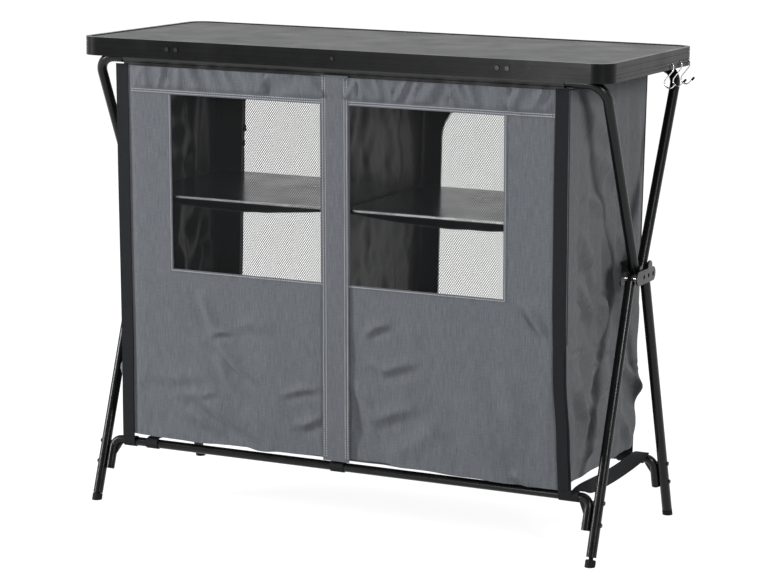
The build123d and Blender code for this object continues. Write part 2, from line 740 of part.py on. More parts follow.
def top_hem(end):
    """The sleeve along the top run, with the tail that the wall hangs from."""
    half = HEM_HALF_LENGTH
    low = wall_height(WALL_TOP_Z)
    high = wall_height(TOP_RUN_Z)
    outline = Pos(0, (low + high) / 2) * Rectangle(2 * half, high - low)
    tail = wall_sheet(outline, end, HEM_CLOTH)
    return looped(tail, end * TOP_RUN_Y, TOP_RUN_Z, HEM_INNER_R, HEM_R, (-half, half))


def window_outline(side, margin):
    """A window's rectangle in the front wall, drawn smaller by a margin."""
    low = wall_height(WINDOW_LOW_Z) + margin
    high = wall_height(WINDOW_TOP_Z) - margin
    inner = WINDOW_INNER_X + margin
    outer = WINDOW_OUTER_X - margin
    centre = Pos(side * (inner + outer) / 2, (low + high) / 2)
    return centre * Rectangle(outer - inner, high - low)


def front_panel(side):
    """One half of the front wall, with its window and its hanging folds."""
    end = ENDS["front"]
    start = SEAM_GAP
    stop = FRONT_PANEL_X
    faces = []
    for z, depth in ((WALL_LOW_Z, FRONT_FOLD_LOW), (WALL_TOP_Z - CLOTH_GAP, FRONT_FOLD_TOP)):
        base = end * wall_y(z)
        if side > 0:
            faces.append(folded_face(start, stop, FRONT_FOLDS, depth, base, CLOTH, z, True))
        else:
            faces.append(folded_face(-stop, -start, FRONT_FOLDS, depth, base, CLOTH, z, True))
    panel = loft(faces, ruled=True)
    cutter = extrude(wall_plane(end) * window_outline(side, 0), amount=4 * FRONT_FOLD_LOW, both=True)
    return panel - cutter


def window_net(side):
    """The window's net: one sheet with a square grid of holes."""
    end = ENDS["front"]
    outline = window_outline(side, CLOTH_GAP)
    box = outline.bounding_box()
    pitch_x = (box.size.X - NET_STRAND) / NET_CELLS
    pitch_y = (box.size.Y - NET_STRAND) / NET_CELLS
    cell = Rectangle(pitch_x - NET_STRAND, pitch_y - NET_STRAND)
    grid = GridLocations(pitch_x, pitch_y, NET_CELLS, NET_CELLS)
    centre = Pos(box.center().X, box.center().Y)
    holes = [centre * place * cell for place in grid]
    return wall_sheet(outline - holes, end, NET_THICKNESS, depth=(CLOTH - NET_THICKNESS) / 2)


def seam_band():
    """The band of cloth over the seam between the two front panels."""
    end = ENDS["front"]
    low = wall_height(WALL_LOW_Z)
    high = wall_height(WALL_TOP_Z - CLOTH_GAP)
    outline = Pos(0, (low + high) / 2) * Rectangle(SEAM_BAND_WIDTH, high - low)
    return wall_sheet(outline, end, SEAM_BAND_CLOTH, depth=-SEAM_BAND_LIFT)


def side_panel(side):
    """A side wall, whose folds deepen towards its lower edge."""
    faces = []
    for z, depth in ((WALL_LOW_Z, SIDE_FOLD_LOW), (WALL_TOP_Z - CLOTH_GAP, SIDE_FOLD_TOP)):
        half = wall_y(z) - WEBBING - 2 * CLOTH_GAP
        base = side * (SIDE_INNER_X + depth / 2)
        faces.append(folded_face(-half, half, SIDE_FOLDS, depth, base, side * CLOTH, z, False))
    return loft(faces, ruled=True)


def door_outline(side):
    """A doorway in the back wall: its upper corner beside the divider is round."""
    low = wall_height(DOOR_LOW_Z)
    high = wall_height(DOOR_TOP_Z)
    inner = side * DOOR_INNER_X
    outer = side * DOOR_OUTER_X
    bend = DOOR_CORNER * (1 - sqrt(0.5))
    arc = ThreePointArc(
        (inner, high - DOOR_CORNER),
        (inner + side * bend, high - bend),
        (inner + side * DOOR_CORNER, high),
    )
    edges = [
        Line((inner, low), (inner, high - DOOR_CORNER)),
        arc,
        Line((inner + side * DOOR_CORNER, high), (outer, high)),
        Line((outer, high), (outer, low)),
        Line((outer, low), (inner, low)),
    ]
    return make_face(Wire(edges))


def back_panel():
    """The back wall, with a doorway into each half of the cabinet."""
    low = wall_height(WALL_LOW_Z)
    high = wall_height(WALL_TOP_Z - CLOTH_GAP)
    outline = Pos(0, (low + high) / 2) * Rectangle(2 * FRONT_PANEL_X, high - low)
    for side in SIDES.values():
        outline -= door_outline(side)
    return wall_sheet(outline, ENDS["back"], CLOTH)


def door_roll(side):
    """A door's cloth, unzipped, rolled up and tied outside, beside its doorway."""
    x = side * (DOOR_OUTER_X + DOOR_ROLL / 2)
    offset = DOOR_ROLL / 2 + CLOTH_GAP
    ends = []
    for z in (DOOR_LOW_Z, DOOR_TOP_Z):
        ends.append((x, wall_y(z) + offset * cos(WALL_TILT), z - offset * sin(WALL_TILT)))
    return rod(*ends, DOOR_ROLL)


def zip_pulls():
    """The slider and pull cord at the top of each rolled door."""
    pulls = []
    width, depth, height = ZIP_SLIDER
    for side in SIDES.values():
        x = side * (DOOR_OUTER_X - width / 2 - CLOTH_GAP)
        top = DOOR_TOP_Z - ZIP_SLIDER_DROP
        y = wall_y(top) + depth / 2 + CLOTH_GAP
        slider = block((x - width / 2, x + width / 2), (y - depth / 2, y + depth / 2), (top - height, top))
        cord = rod((x, y, top - height / 2), (x, y, top - height / 2 - ZIP_PULL_LENGTH), ZIP_PULL_CORD)
        pulls.append(slider + cord)
    return pulls


def divider():
    """The cloth wall between the two halves."""
    low_y = wall_y(WALL_LOW_Z) - CLOTH - 2 * FRONT_FOLD_LOW
    high_y = wall_y(WALL_TOP_Z) - CLOTH - 2 * FRONT_FOLD_LOW
    z_high = WALL_TOP_Z - CLOTH_GAP
    outline = Polygon(
        (-low_y, WALL_LOW_Z), (low_y, WALL_LOW_Z), (high_y, z_high), (-high_y, z_high), align=None
    )
    return knuckle_sheet(outline, -CLOTH / 2, CLOTH)


def cabinet_floor():
    """The cloth floor, inside the four walls' lower edges."""
    half_y = wall_y(FLOOR_Z) - WEBBING - CLOTH_GAP
    half_x = CABINET_X
    return block((-half_x, half_x), (-half_y, half_y), (FLOOR_Z, FLOOR_Z + CLOTH))


def shelf_span():
    """The X of a shelf board's inner and outer ends."""
    return CLOTH / 2 + SHELF_SIDE_GAP, SIDE_INNER_X - SHELF_SIDE_GAP


def sling_span():
    """The X of a sling's inner and outer edges, at the divider and the side wall."""
    return CLOTH / 2 + CLOTH_GAP, SIDE_INNER_X - CLOTH_GAP


def sling_drop(x):
    """How far a sling hangs below its two edges at x."""
    inner, outer = sling_span()
    half = (outer - inner) / 2
    radius = (half**2 + SLING_SAG**2) / (2 * SLING_SAG)
    across = x - (inner + outer) / 2
    return SLING_SAG - radius + sqrt(radius**2 - across**2)


def sling(side):
    """The cloth that hangs under a shelf board and holds up the board's two ends."""
    inner, outer = sling_span()
    middle = (inner + outer) / 2
    board_inner, _ = shelf_span()
    top = SHELF_TOP_Z - SHELF_THICKNESS - REST_GAP + sling_drop(board_inner)
    upper = ThreePointArc((side * inner, top), (side * middle, top - SLING_SAG), (side * outer, top))
    low = top - CLOTH
    lower = ThreePointArc((side * outer, low), (side * middle, low - SLING_SAG), (side * inner, low))
    rim = Line((side * outer, top), (side * outer, low))
    back = Line((side * inner, low), (side * inner, top))
    face = make_face(Wire([upper, rim, lower, back]))
    plane = Plane((0, -SHELF_FRONT_Y, 0), x_dir=(1, 0, 0), z_dir=(0, -1, 0))
    return extrude(plane * face, amount=SHELF_FRONT_Y + SHELF_BACK_Y, dir=(0, 1, 0))


def shelf_board(side):
    """A loose shelf board, with round back corners."""
    inner, outer = shelf_span()
    front = -SHELF_FRONT_Y + SHELF_TRIM_DEPTH
    centre = Pos(side * (inner + outer) / 2, (front + SHELF_BACK_Y) / 2)
    plate = extrude(centre * Rectangle(outer - inner, SHELF_BACK_Y - front), amount=SHELF_THICKNESS)
    corners = plate.edges().filter_by(Axis.Z).group_by(Axis.Y)[-1]
    plate = fillet(corners, SHELF_CORNER)
    return Pos(0, 0, SHELF_TOP_Z - SHELF_THICKNESS) * plate


def shelf_trim(side):
    """The bright strip on a shelf board's front edge."""
    inner, outer = shelf_span()
    front = -SHELF_FRONT_Y
    low = SHELF_TOP_Z - SHELF_THICKNESS
    high = low + SHELF_TRIM_HEIGHT
    strip = block((side * inner, side * outer), (front, front + SHELF_TRIM_DEPTH), (low, high))
    return strip


def shifted(shape):
    """A piece of the cabinet, moved to where the cabinet hangs along the frame."""
    place = Pos(CABINET_SHIFT, 0, 0)
    if isinstance(shape, list):
        return [place * solid for solid in shape]
    return place * shape


def cabinet_parts():
    """The sub-parts that hang in the cabinet or stand in it, before they are shifted."""
    parts = {
        "seam_band": seam_band(),
        "back_panel": back_panel(),
        "zip_pulls": zip_pulls(),
        "divider": divider(),
        "cabinet_floor": cabinet_floor(),
    }
    for side_name, side in SIDES.items():
        parts[f"front_panel_{side_name}"] = front_panel(side)
        parts[f"window_net_{side_name}"] = window_net(side)
        parts[f"side_panel_{side_name}"] = side_panel(side)
        parts[f"door_roll_{side_name}"] = door_roll(side)
        parts[f"sling_{side_name}"] = sling(side)
        parts[f"shelf_board_{side_name}"] = shelf_board(side)
        parts[f"shelf_trim_{side_name}"] = shelf_trim(side)
    for end_name, end in ENDS.items():
        parts[f"top_hem_{end_name}"] = top_hem(end)
        for side_name, side in SIDES.items():
            parts[f"corner_strap_{foot_key(end_name, side_name)}"] = corner_strap(end, side)
    return parts


def all_parts():
    """Every sub-part by its node's name."""
    parts = {name: shifted(shape) for name, shape in cabinet_parts().items()}
    parts |= {
        "edge_profile": edge_profile(),
        "worktop_board": worktop_board(),
        "brace_centre": brace(0, CENTRE_BRACE_WIDTH, [0]),
        "apron_fasteners": apron_screws() + apron_rivets(),
        "lower_pins": lower_pins(),
        "upper_pins": upper_pins(),
        "knuckle_washers": knuckle_washers(),
        "spread_straps": [spread_strap(x) for x in SPREAD_STRAP_X],
        "centre_loops": [centre_loop(end) for end in ENDS.values()],
    }
    for side_name, side in SIDES.items():
        ports = [x for x in screw_places() if x * side > 0]
        parts[f"brace_{side_name}"] = brace(side * BRACE_X, BRACE_WIDTH, ports)
        parts[f"outer_plate_{side_name}"] = outer_plate(side)
        parts[f"inner_plate_{side_name}"] = inner_plate(side)
    for end_name, end in ENDS.items():
        parts[f"upper_frame_{end_name}"] = upper_frame(end)
        parts[f"cross_tube_{end_name}"] = cross_tube(end)
        parts[f"leg_bolts_{end_name}"] = leg_bolts(end)
        for side_name, side in SIDES.items():
            key = foot_key(end_name, side_name)
            parts[f"leg_{key}"] = leg(end, side, key)
            parts[f"foot_{key}"] = foot(end, side)
    for index in range(HOOK_COUNT):
        parts[f"hook_{index + 1}"] = hook_wire(index)
        parts[f"hook_tip_{index + 1}"] = hook_tip(index)
    return parts


def main():
    os.makedirs("parts", exist_ok=True)
    for name, shape in all_parts().items():
        solids = shape if isinstance(shape, list) else [shape]
        whole = Compound(children=[s for piece in solids for s in piece.solids()])
        export_step(whole, f"parts/{name}.step")
    print("lower tilt", round(degrees(LOWER_TILT), 3), "upper tilt", round(degrees(UPPER_TILT), 3))


main()
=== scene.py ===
"""A folding camping cupboard in a plain studio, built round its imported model.

Lengths are in metres unless a name says otherwise. +X runs right along the worktop, +Y runs
from the net windows to the doors, and +Z is up.
"""

from __future__ import annotations

import logging
import math
from dataclasses import dataclass
from enum import Enum
from typing import Any, Callable, Optional, Sequence

import bpy
from mathutils import Matrix, Vector, noise

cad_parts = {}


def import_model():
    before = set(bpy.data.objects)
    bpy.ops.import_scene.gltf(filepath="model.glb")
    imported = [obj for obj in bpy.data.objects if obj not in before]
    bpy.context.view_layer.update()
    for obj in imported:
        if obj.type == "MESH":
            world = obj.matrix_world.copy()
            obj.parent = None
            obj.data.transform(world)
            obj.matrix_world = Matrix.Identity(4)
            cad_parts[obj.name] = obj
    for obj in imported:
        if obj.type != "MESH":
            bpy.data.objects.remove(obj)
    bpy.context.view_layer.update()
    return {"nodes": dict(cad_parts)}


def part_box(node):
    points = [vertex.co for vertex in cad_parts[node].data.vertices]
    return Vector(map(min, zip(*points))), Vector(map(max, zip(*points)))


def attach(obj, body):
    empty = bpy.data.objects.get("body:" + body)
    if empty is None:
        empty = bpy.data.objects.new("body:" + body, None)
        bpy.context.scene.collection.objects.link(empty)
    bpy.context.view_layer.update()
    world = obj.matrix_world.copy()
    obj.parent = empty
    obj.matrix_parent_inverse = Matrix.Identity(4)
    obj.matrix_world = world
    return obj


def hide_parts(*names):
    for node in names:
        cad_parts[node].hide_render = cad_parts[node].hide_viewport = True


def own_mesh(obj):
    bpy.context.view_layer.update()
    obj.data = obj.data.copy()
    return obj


LOG = logging.getLogger("cupboard")
MM = 0.001
Place = Callable[[float, float], Vector]
SIDE_NAMES = {"left": -1, "right": 1}
END_NAMES = {"front": -1, "back": 1}
FORWARD = Vector((0, -1, 0))
BACKWARD = Vector((0, 1, 0))


# Materials


def linear(hex_code: str) -> tuple[float, float, float, float]:
    """Turn an sRGB hex colour into the linear colour that a shader reads.

    Args:
        hex_code: Six hex digits after a hash.

    Returns:
        Red, green, blue and alpha.
    """
    shares = [int(hex_code[i : i + 2], 16) / 255 for i in (1, 3, 5)]
    red, green, blue = (s / 12.92 if s <= 0.04045 else ((s + 0.055) / 1.055) ** 2.4 for s in shares)
    return red, green, blue, 1.0


def add_node(
    tree: bpy.types.NodeTree,
    kind: str,
    settings: Optional[dict[str, Any]] = None,
    sockets: Optional[dict[Any, Any]] = None,
    links: Optional[dict[Any, bpy.types.NodeSocket]] = None,
) -> bpy.types.Node:
    """Add one shader node with its settings, its socket values and its incoming links.

    Args:
        tree: The material's node tree.
        kind: The node's type name.
        settings: Attributes of the node.
        sockets: Values of its inputs, by name or number.
        links: Outputs of other nodes, by the input they feed.

    Returns:
        The new node.
    """
    node = tree.nodes.new(kind)
    for name, value in (settings or {}).items():
        setattr(node, name, value)
    for name, value in (sockets or {}).items():
        node.inputs[name].default_value = value
    for name, source in (links or {}).items():
        tree.links.new(source, node.inputs[name])
    return node


@dataclass(frozen=True)
class Finish:
    """A surface finish: typical values for its material, and a pattern that each kind adds.

    The colour is sRGB hex. Sizes of patterns are in millimetres and heights in micrometres.
    """

    name: str
    colour: str
    roughness: float = 0.5
    metallic: float = 0.0
    specular: float = 0.5
    coat: float = 0.0
    sheen: float = 0.0

    def make(self) -> bpy.types.Material:
        """Build the material.

        Returns:
            The material, with its pattern.
        """
        material = bpy.data.materials.new(self.name)
        material.use_nodes = True
        tree = material.node_tree
        tree.nodes.clear()
        sockets = {
            "Base Color": linear(self.colour),
            "Roughness": self.roughness,
            "Metallic": self.metallic,
            "Specular IOR Level": self.specular,
            "Coat Weight": self.coat,
            "Coat Roughness": 0.1,
            "Sheen Weight": self.sheen,
        }
        shader = add_node(tree, "ShaderNodeBsdfPrincipled", sockets=sockets)
        add_node(tree, "ShaderNodeOutputMaterial", links={"Surface": shader.outputs["BSDF"]})
        self.pattern(tree, shader)
        return material

    def pattern(self, tree: bpy.types.NodeTree, shader: bpy.types.Node) -> None:
        """Add this kind's pattern to the shader.

        Args:
            tree: The material's node tree.
            shader: The principled shader.
        """
        raise NotImplementedError


@dataclass(frozen=True)
class Grained(Finish):
    """A coated, moulded or brushed surface: fine grain, patches of wear, and shallow relief."""

    grain_mm: float = 1.5
    stretch: tuple[float, float, float] = (1.0, 1.0, 1.0)
    relief_um: float = 15.0
    roughness_spread: float = 0.08
    shade_spread: float = 0.12
    patch_mm: float = 70.0

    def pattern(self, tree: bpy.types.NodeTree, shader: bpy.types.Node) -> None:
        """Add grain to the roughness and height, and soft patches to the colour.

        Args:
            tree: The material's node tree.
            shader: The principled shader.
        """
        place = add_node(tree, "ShaderNodeTexCoord")
        turned = add_node(
            tree,
            "ShaderNodeMapping",
            sockets={"Scale": self.stretch},
            links={"Vector": place.outputs["Object"]},
        )
        grain = add_node(
            tree,
            "ShaderNodeTexNoise",
            sockets={"Scale": 1 / (self.grain_mm * MM), "Detail": 3.0, "Roughness": 0.6},
            links={"Vector": turned.outputs["Vector"]},
        )
        patch = add_node(
            tree,
            "ShaderNodeTexNoise",
            sockets={"Scale": 1 / (self.patch_mm * MM), "Detail": 4.0, "Roughness": 0.65},
            links={"Vector": place.outputs["Object"]},
        )
        rough = add_node(
            tree,
            "ShaderNodeMapRange",
            sockets={
                "From Min": 0.3,
                "From Max": 0.7,
                "To Min": self.roughness - self.roughness_spread,
                "To Max": self.roughness + self.roughness_spread,
            },
            links={"Value": patch.outputs["Fac"]},
        )
        shade = add_node(
            tree,
            "ShaderNodeMapRange",
            sockets={
                "From Min": 0.3,
                "From Max": 0.7,
                "To Min": 1 - self.shade_spread,
                "To Max": 1 + self.shade_spread,
            },
            links={"Value": patch.outputs["Fac"]},
        )
        colour = add_node(
            tree,
            "ShaderNodeVectorMath",
            settings={"operation": "SCALE"},
            sockets={0: linear(self.colour)[:3]},
            links={"Scale": shade.outputs["Result"]},
        )
        relief = add_node(
            tree,
            "ShaderNodeBump",
            sockets={"Strength": 1.0, "Distance": self.relief_um * 1e-6},
            links={"Height": grain.outputs["Fac"]},
        )
        tree.links.new(colour.outputs["Vector"], shader.inputs["Base Color"])
        tree.links.new(rough.outputs["Result"], shader.inputs["Roughness"])
        tree.links.new(relief.outputs["Normal"], shader.inputs["Normal"])


@dataclass(frozen=True)
class Woven(Finish):
    """Woven cloth, drawn along the piece's own UV map, whose unit is a metre.

    Single threads are about 0.4 mm and too fine to show, so they are drawn as coarse as
    thread_mm; the heather of light and dark fibres runs in streaks along the warp.
    """

    light: str = "#8a8d94"
    thread_mm: float = 2.2
    streak: float = 12.0
    relief_um: float = 120.0
    fleck: float = 0.5

    def pattern(self, tree: bpy.types.NodeTree, shader: bpy.types.Node) -> None:
        """Add warp streaks, weft bars and flecks to the colour, and the weave to the height.

        Args:
            tree: The material's node tree.
            shader: The principled shader.
        """
        per_thread = 1 / (self.thread_mm * MM)
        per_band = math.pi / 10 * per_thread
        place = add_node(tree, "ShaderNodeTexCoord")
        source = {"Vector": place.outputs["UV"]}
        warp_place = add_node(
            tree,
            "ShaderNodeMapping",
            sockets={"Scale": (per_thread, per_thread / self.streak, 1.0)},
            links=source,
        )
        weft_place = add_node(
            tree,
            "ShaderNodeMapping",
            sockets={"Scale": (per_thread / self.streak * 2, per_thread, 1.0)},
            links=source,
        )
        band_place = add_node(
            tree, "ShaderNodeMapping", sockets={"Scale": (per_band, per_band, 1.0)}, links=source
        )
        streaks = {"Scale": 1.0, "Detail": 2.0, "Roughness": 0.7}
        warp = add_node(
            tree, "ShaderNodeTexNoise", sockets=streaks, links={"Vector": warp_place.outputs["Vector"]}
        )
        weft = add_node(
            tree, "ShaderNodeTexNoise", sockets=streaks, links={"Vector": weft_place.outputs["Vector"]}
        )
        ribs = add_node(
            tree,
            "ShaderNodeTexWave",
            settings={"bands_direction": "X"},
            sockets={"Scale": 1.0, "Distortion": 0.6, "Detail": 1.0},
            links={"Vector": band_place.outputs["Vector"]},
        )
        bars = add_node(
            tree,
            "ShaderNodeTexWave",
            settings={"bands_direction": "Y"},
            sockets={"Scale": 1.0, "Distortion": 0.6, "Detail": 1.0},
            links={"Vector": band_place.outputs["Vector"]},
        )
        fibres = add_node(
            tree,
            "ShaderNodeMix",
            settings={"data_type": "FLOAT"},
            sockets={0: 0.35},
            links={2: warp.outputs["Fac"], 3: weft.outputs["Fac"]},
        )
        mixed = add_node(
            tree,
            "ShaderNodeMapRange",
            sockets={"From Min": 0.32, "From Max": 0.68, "To Min": 0.0, "To Max": self.fleck},
            links={"Value": fibres.outputs[0]},
        )
        colour = add_node(
            tree,
            "ShaderNodeMix",
            settings={"data_type": "RGBA"},
            sockets={6: linear(self.colour), 7: linear(self.light)},
            links={0: mixed.outputs["Result"]},
        )
        weave = add_node(
            tree,
            "ShaderNodeMath",
            settings={"operation": "ADD"},
            links={0: ribs.outputs["Fac"], 1: bars.outputs["Fac"]},
        )
        height = add_node(
            tree,
            "ShaderNodeMath",
            settings={"operation": "ADD"},
            links={0: weave.outputs["Value"], 1: warp.outputs["Fac"]},
        )
        relief = add_node(
            tree,
            "ShaderNodeBump",
            sockets={"Strength": 1.0, "Distance": self.relief_um * 1e-6},
            links={"Height": height.outputs["Value"]},
        )
        tree.links.new(colour.outputs[2], shader.inputs["Base Color"])
        tree.links.new(relief.outputs["Normal"], shader.inputs["Normal"])


class Material(Enum):
    """Every finish on the cupboard, by what the real one is and how it was made."""

    # Gloss enamel baked on drawn tube: black, with a long crisp highlight.
    TUBE = Grained(
        "baked_gloss_enamel", "#08090a", 0.29, specular=0.22, coat=0.06, grain_mm=2.5, relief_um=3.0
    )
    # Black anodised extrusion: satin, with lines drawn along it by the die.
    APRON = Grained(
        "black_anodised_extrusion",
        "#090a0b",
        0.3,
        specular=0.13,
        coat=0.02,
        grain_mm=0.8,
        stretch=(0.05, 0.05, 1.0),
        relief_um=5.0,
    )
    # Melamine-faced board: plain matt grey with a fine tooth.
    TOP = Grained(
        "grey_melamine", "#434446", 0.48, specular=0.3, grain_mm=1.2, relief_um=12.0, shade_spread=0.03
    )
    # The shelf boards have a closed, smoother face that mirrors the light behind them.
    SHELF = Grained(
        "dark_melamine", "#242527", 0.2, specular=0.6, grain_mm=2.0, relief_um=5.0, shade_spread=0.05
    )
    # Bright mill-finish strip.
    TRIM = Grained(
        "bright_aluminium",
        "#d6d8da",
        0.25,
        metallic=1.0,
        grain_mm=0.6,
        stretch=(0.05, 1.0, 1.0),
        relief_um=4.0,
    )
    # Mill-finish aluminium bars, unpolished.
    BRACE = Grained(
        "mill_aluminium", "#b9bbbd", 0.4, metallic=1.0, grain_mm=0.6, stretch=(1.0, 0.05, 1.0), relief_um=6.0
    )
    # Nickel-plated steel wire and pins.
    PLATED = Grained(
        "nickel_plate", "#e2e3e4", 0.2, metallic=1.0, grain_mm=3.0, relief_um=3.0, shade_spread=0.05
    )
    # Stamped steel plates under satin black paint.
    PLATE = Grained(
        "stamped_black_steel", "#131416", 0.34, specular=0.3, coat=0.05, grain_mm=0.9, relief_um=12.0
    )
    SCREW = Grained("black_oxide_steel", "#0d0d0e", 0.3, specular=0.4, grain_mm=1.0, relief_um=8.0)
    SPACER = Grained("moulded_nylon", "#111112", 0.5, specular=0.3, grain_mm=0.7, relief_um=10.0)
    RUBBER = Grained("moulded_rubber", "#0e0e0f", 0.62, specular=0.15, grain_mm=0.8, relief_um=22.0)
    # Heather polyester: mid grey, slightly blue, with a woven tooth and no gloss.
    CLOTH = Woven(
        "heather_polyester",
        "#54575c",
        0.85,
        specular=0.2,
        sheen=0.15,
        light="#7c8086",
        fleck=0.6,
        thread_mm=1.7,
        streak=18.0,
        relief_um=70.0,
    )
    # The ends are cut across the same cloth, whose weft is greyer and quieter.
    SIDE_CLOTH = Woven(
        "heather_polyester_weft",
        "#5c5e60",
        0.85,
        specular=0.2,
        sheen=0.1,
        light="#848688",
        fleck=0.5,
        thread_mm=1.7,
    )
    # The coated back of the same cloth: black and faintly shiny.
    LINING = Woven(
        "coated_lining",
        "#0e0f10",
        0.42,
        specular=0.45,
        light="#1b1d1e",
        thread_mm=1.6,
        relief_um=25.0,
        fleck=0.4,
    )
    # Flat woven strap with ribs across it.
    WEBBING = Woven(
        "polypropylene_webbing",
        "#121316",
        0.7,
        specular=0.15,
        light="#26282c",
        thread_mm=1.8,
        streak=3.0,
        relief_um=160.0,
    )
    NET = Grained("net_yarn", "#1d1e20", 0.75, specular=0.2, grain_mm=0.5, relief_um=20.0)
    THREAD = Grained("sewing_thread", "#c2c4c8", 0.75, specular=0.3, grain_mm=0.4, relief_um=30.0)
    CORD = Grained("orange_pull_cord", "#8a5a24", 0.6, specular=0.4, grain_mm=0.6, relief_um=40.0)
    COIL = Grained("nylon_zip_coil", "#101011", 0.45, specular=0.35, grain_mm=0.6, relief_um=12.0)


class Shop:
    """Makes each material once and hands it out."""

    made: dict[Material, bpy.types.Material] = {}

    @classmethod
    def get(cls, wanted: Material) -> bpy.types.Material:
        """Return the built material for a finish, and build it the first time.

        Args:
            wanted: The finish.

        Returns:
            The material.
        """
        if wanted not in cls.made:
            cls.made[wanted] = wanted.value.make()
        return cls.made[wanted]


# Building cloth and webbing


@dataclass(frozen=True)
class CabinetSizes:
    """Where the cloth hangs. X is measured from the divider, which stands left of the frame's middle."""

    shift: float = -0.0065
    half_width: float = 0.4355
    strap_width: float = 0.024
    low_z: float = 0.1285
    high_z: float = 0.8106
    cross_y: float = 0.15925
    cross_z: float = 0.110
    hem_y: float = 0.180
    hem_z: float = 0.8231
    wall_low_y: float = 0.16905
    wall_high_y: float = 0.1901
    pin_z: float = 0.475
    windows: tuple[tuple[float, float], tuple[float, float]] = ((-0.3290, -0.0296), (0.0276, 0.3190))
    window_low: float = 0.445
    window_high: float = 0.762
    door_inner: float = 0.0355
    door_outer: float = 0.3855
    door_low: float = 0.150
    door_high: float = 0.745
    door_corner: float = 0.080
    shelf_z: float = 0.578

    def wall_y(self, z: float) -> float:
        """Return how far a wall's outer face is from the middle plane at height z."""
        share = (z - self.cross_z) / (self.hem_z - self.cross_z)
        return self.wall_low_y + (self.wall_high_y - self.wall_low_y) * share

    def window(self, side_name: str) -> tuple[float, float]:
        """Return the left and right edges of one window."""
        return self.windows[0] if side_name == "left" else self.windows[1]

    @property
    def strap_inner(self) -> float:
        """Return how far a corner strap's inner edge is from the divider."""
        return self.half_width - self.strap_width

    @property
    def height(self) -> float:
        """Return how high the cloth walls are."""
        return self.high_z - self.low_z


SIZES = CabinetSizes()


@dataclass(frozen=True)
class Crease:
    """A fold line in hanging cloth: it rises along a line and dips on one side of it."""

    line: tuple[tuple[float, float], ...]
    width: float = 0.008
    height: float = 0.004

    # The profile across the line, in widths: how steeply it falls, and its dip on one side.
    reach = 5
    fall = 0.7
    ridge_power = 1.4
    dip_share = 0.6
    dip_place = 2.0
    # How quickly the crease dies out towards its ends.
    end_power = 0.9

    def nearest(self, u: float, v: float) -> tuple[float, float]:
        """Measure a point of the cloth against the line.

        Args:
            u: Distance across the cloth.
            v: Height.

        Returns:
            The signed distance to the line, and how far along it the nearest place is, from 0 to 1.
        """
        walked, best, signed, along = 0.0, math.inf, 0.0, 0.0
        for (u0, v0), (u1, v1) in zip(self.line, self.line[1:]):
            run_u, run_v = u1 - u0, v1 - v0
            length = math.hypot(run_u, run_v)
            share = min(1.0, max(0.0, ((u - u0) * run_u + (v - v0) * run_v) / length**2))
            off_u, off_v = u - u0 - run_u * share, v - v0 - run_v * share
            distance = math.hypot(off_u, off_v)
            if distance < best:
                best = distance
                signed = math.copysign(distance, off_u * run_v - off_v * run_u)
                along = walked + share * length
            walked += length
        return signed, along / walked

    def lift(self, u: float, v: float) -> float:
        """Return how far the crease moves the cloth outwards at a point.

        Args:
            u: Distance across the cloth.
            v: Height.

        Returns:
            The distance outwards.
        """
        signed, along = self.nearest(u, v)
        across = signed / self.width
        if abs(across) > self.reach:
            return 0.0
        fade = max(0.0, math.sin(math.pi * along)) ** self.end_power
        ridge = math.exp(-self.fall * abs(across) ** self.ridge_power)
        dip = self.dip_share * math.exp(-self.fall * (across - self.dip_place) ** 2)
        return self.height * fade * (ridge - dip)


def ripple(u: float, v: float, size_u: float, size_v: float, seed: float) -> float:
    """Return smooth noise from about -1 to 1 whose bumps are size_u wide and size_v high."""
    return noise.noise(Vector((u / size_u, v / size_v, seed)))


def smooth_step(value: float, low: float, high: float) -> float:
    """Return 0 below low, 1 above high and a smooth rise between them."""
    share = min(1.0, max(0.0, (value - low) / (high - low)))
    return share * share * (3 - 2 * share)


def along_points(value: float, points: Sequence[tuple[float, float]]) -> float:
    """Return the height of a smooth line through points at a place along it.

    Args:
        value: The place along the line.
        points: Places along the line and its height at each.

    Returns:
        The line's height there.
    """
    if value <= points[0][0]:
        return points[0][1]
    for (start, low), (stop, high) in zip(points, points[1:]):
        if value < stop:
            return low + (high - low) * smooth_step(value, start, stop)
    return points[-1][1]


def lines_between(start: float, stop: float, step: float, fixed: Sequence[float] = ()) -> list[float]:
    """Divide a stretch into equal steps, with a line at each fixed place.

    Args:
        start: The first line.
        stop: The last line.
        step: About how far apart lines are.
        fixed: Places that get a line of their own.

    Returns:
        The lines in rising order.
    """
    stops = sorted({start, stop, *(f for f in fixed if start < f < stop)})
    lines = [start]
    for low, high in zip(stops, stops[1:]):
        count = max(1, round((high - low) / step))
        lines += [low + (high - low) * i / count for i in range(1, count + 1)]
    return lines


def keep_only(piece: bpy.types.Object) -> None:
    """Select one object, make it the active one and leave all others unselected.

    Args:
        piece: The object.
    """
    bpy.ops.object.select_all(action="DESELECT")
    piece.select_set(True)
    bpy.context.view_layer.objects.active = piece


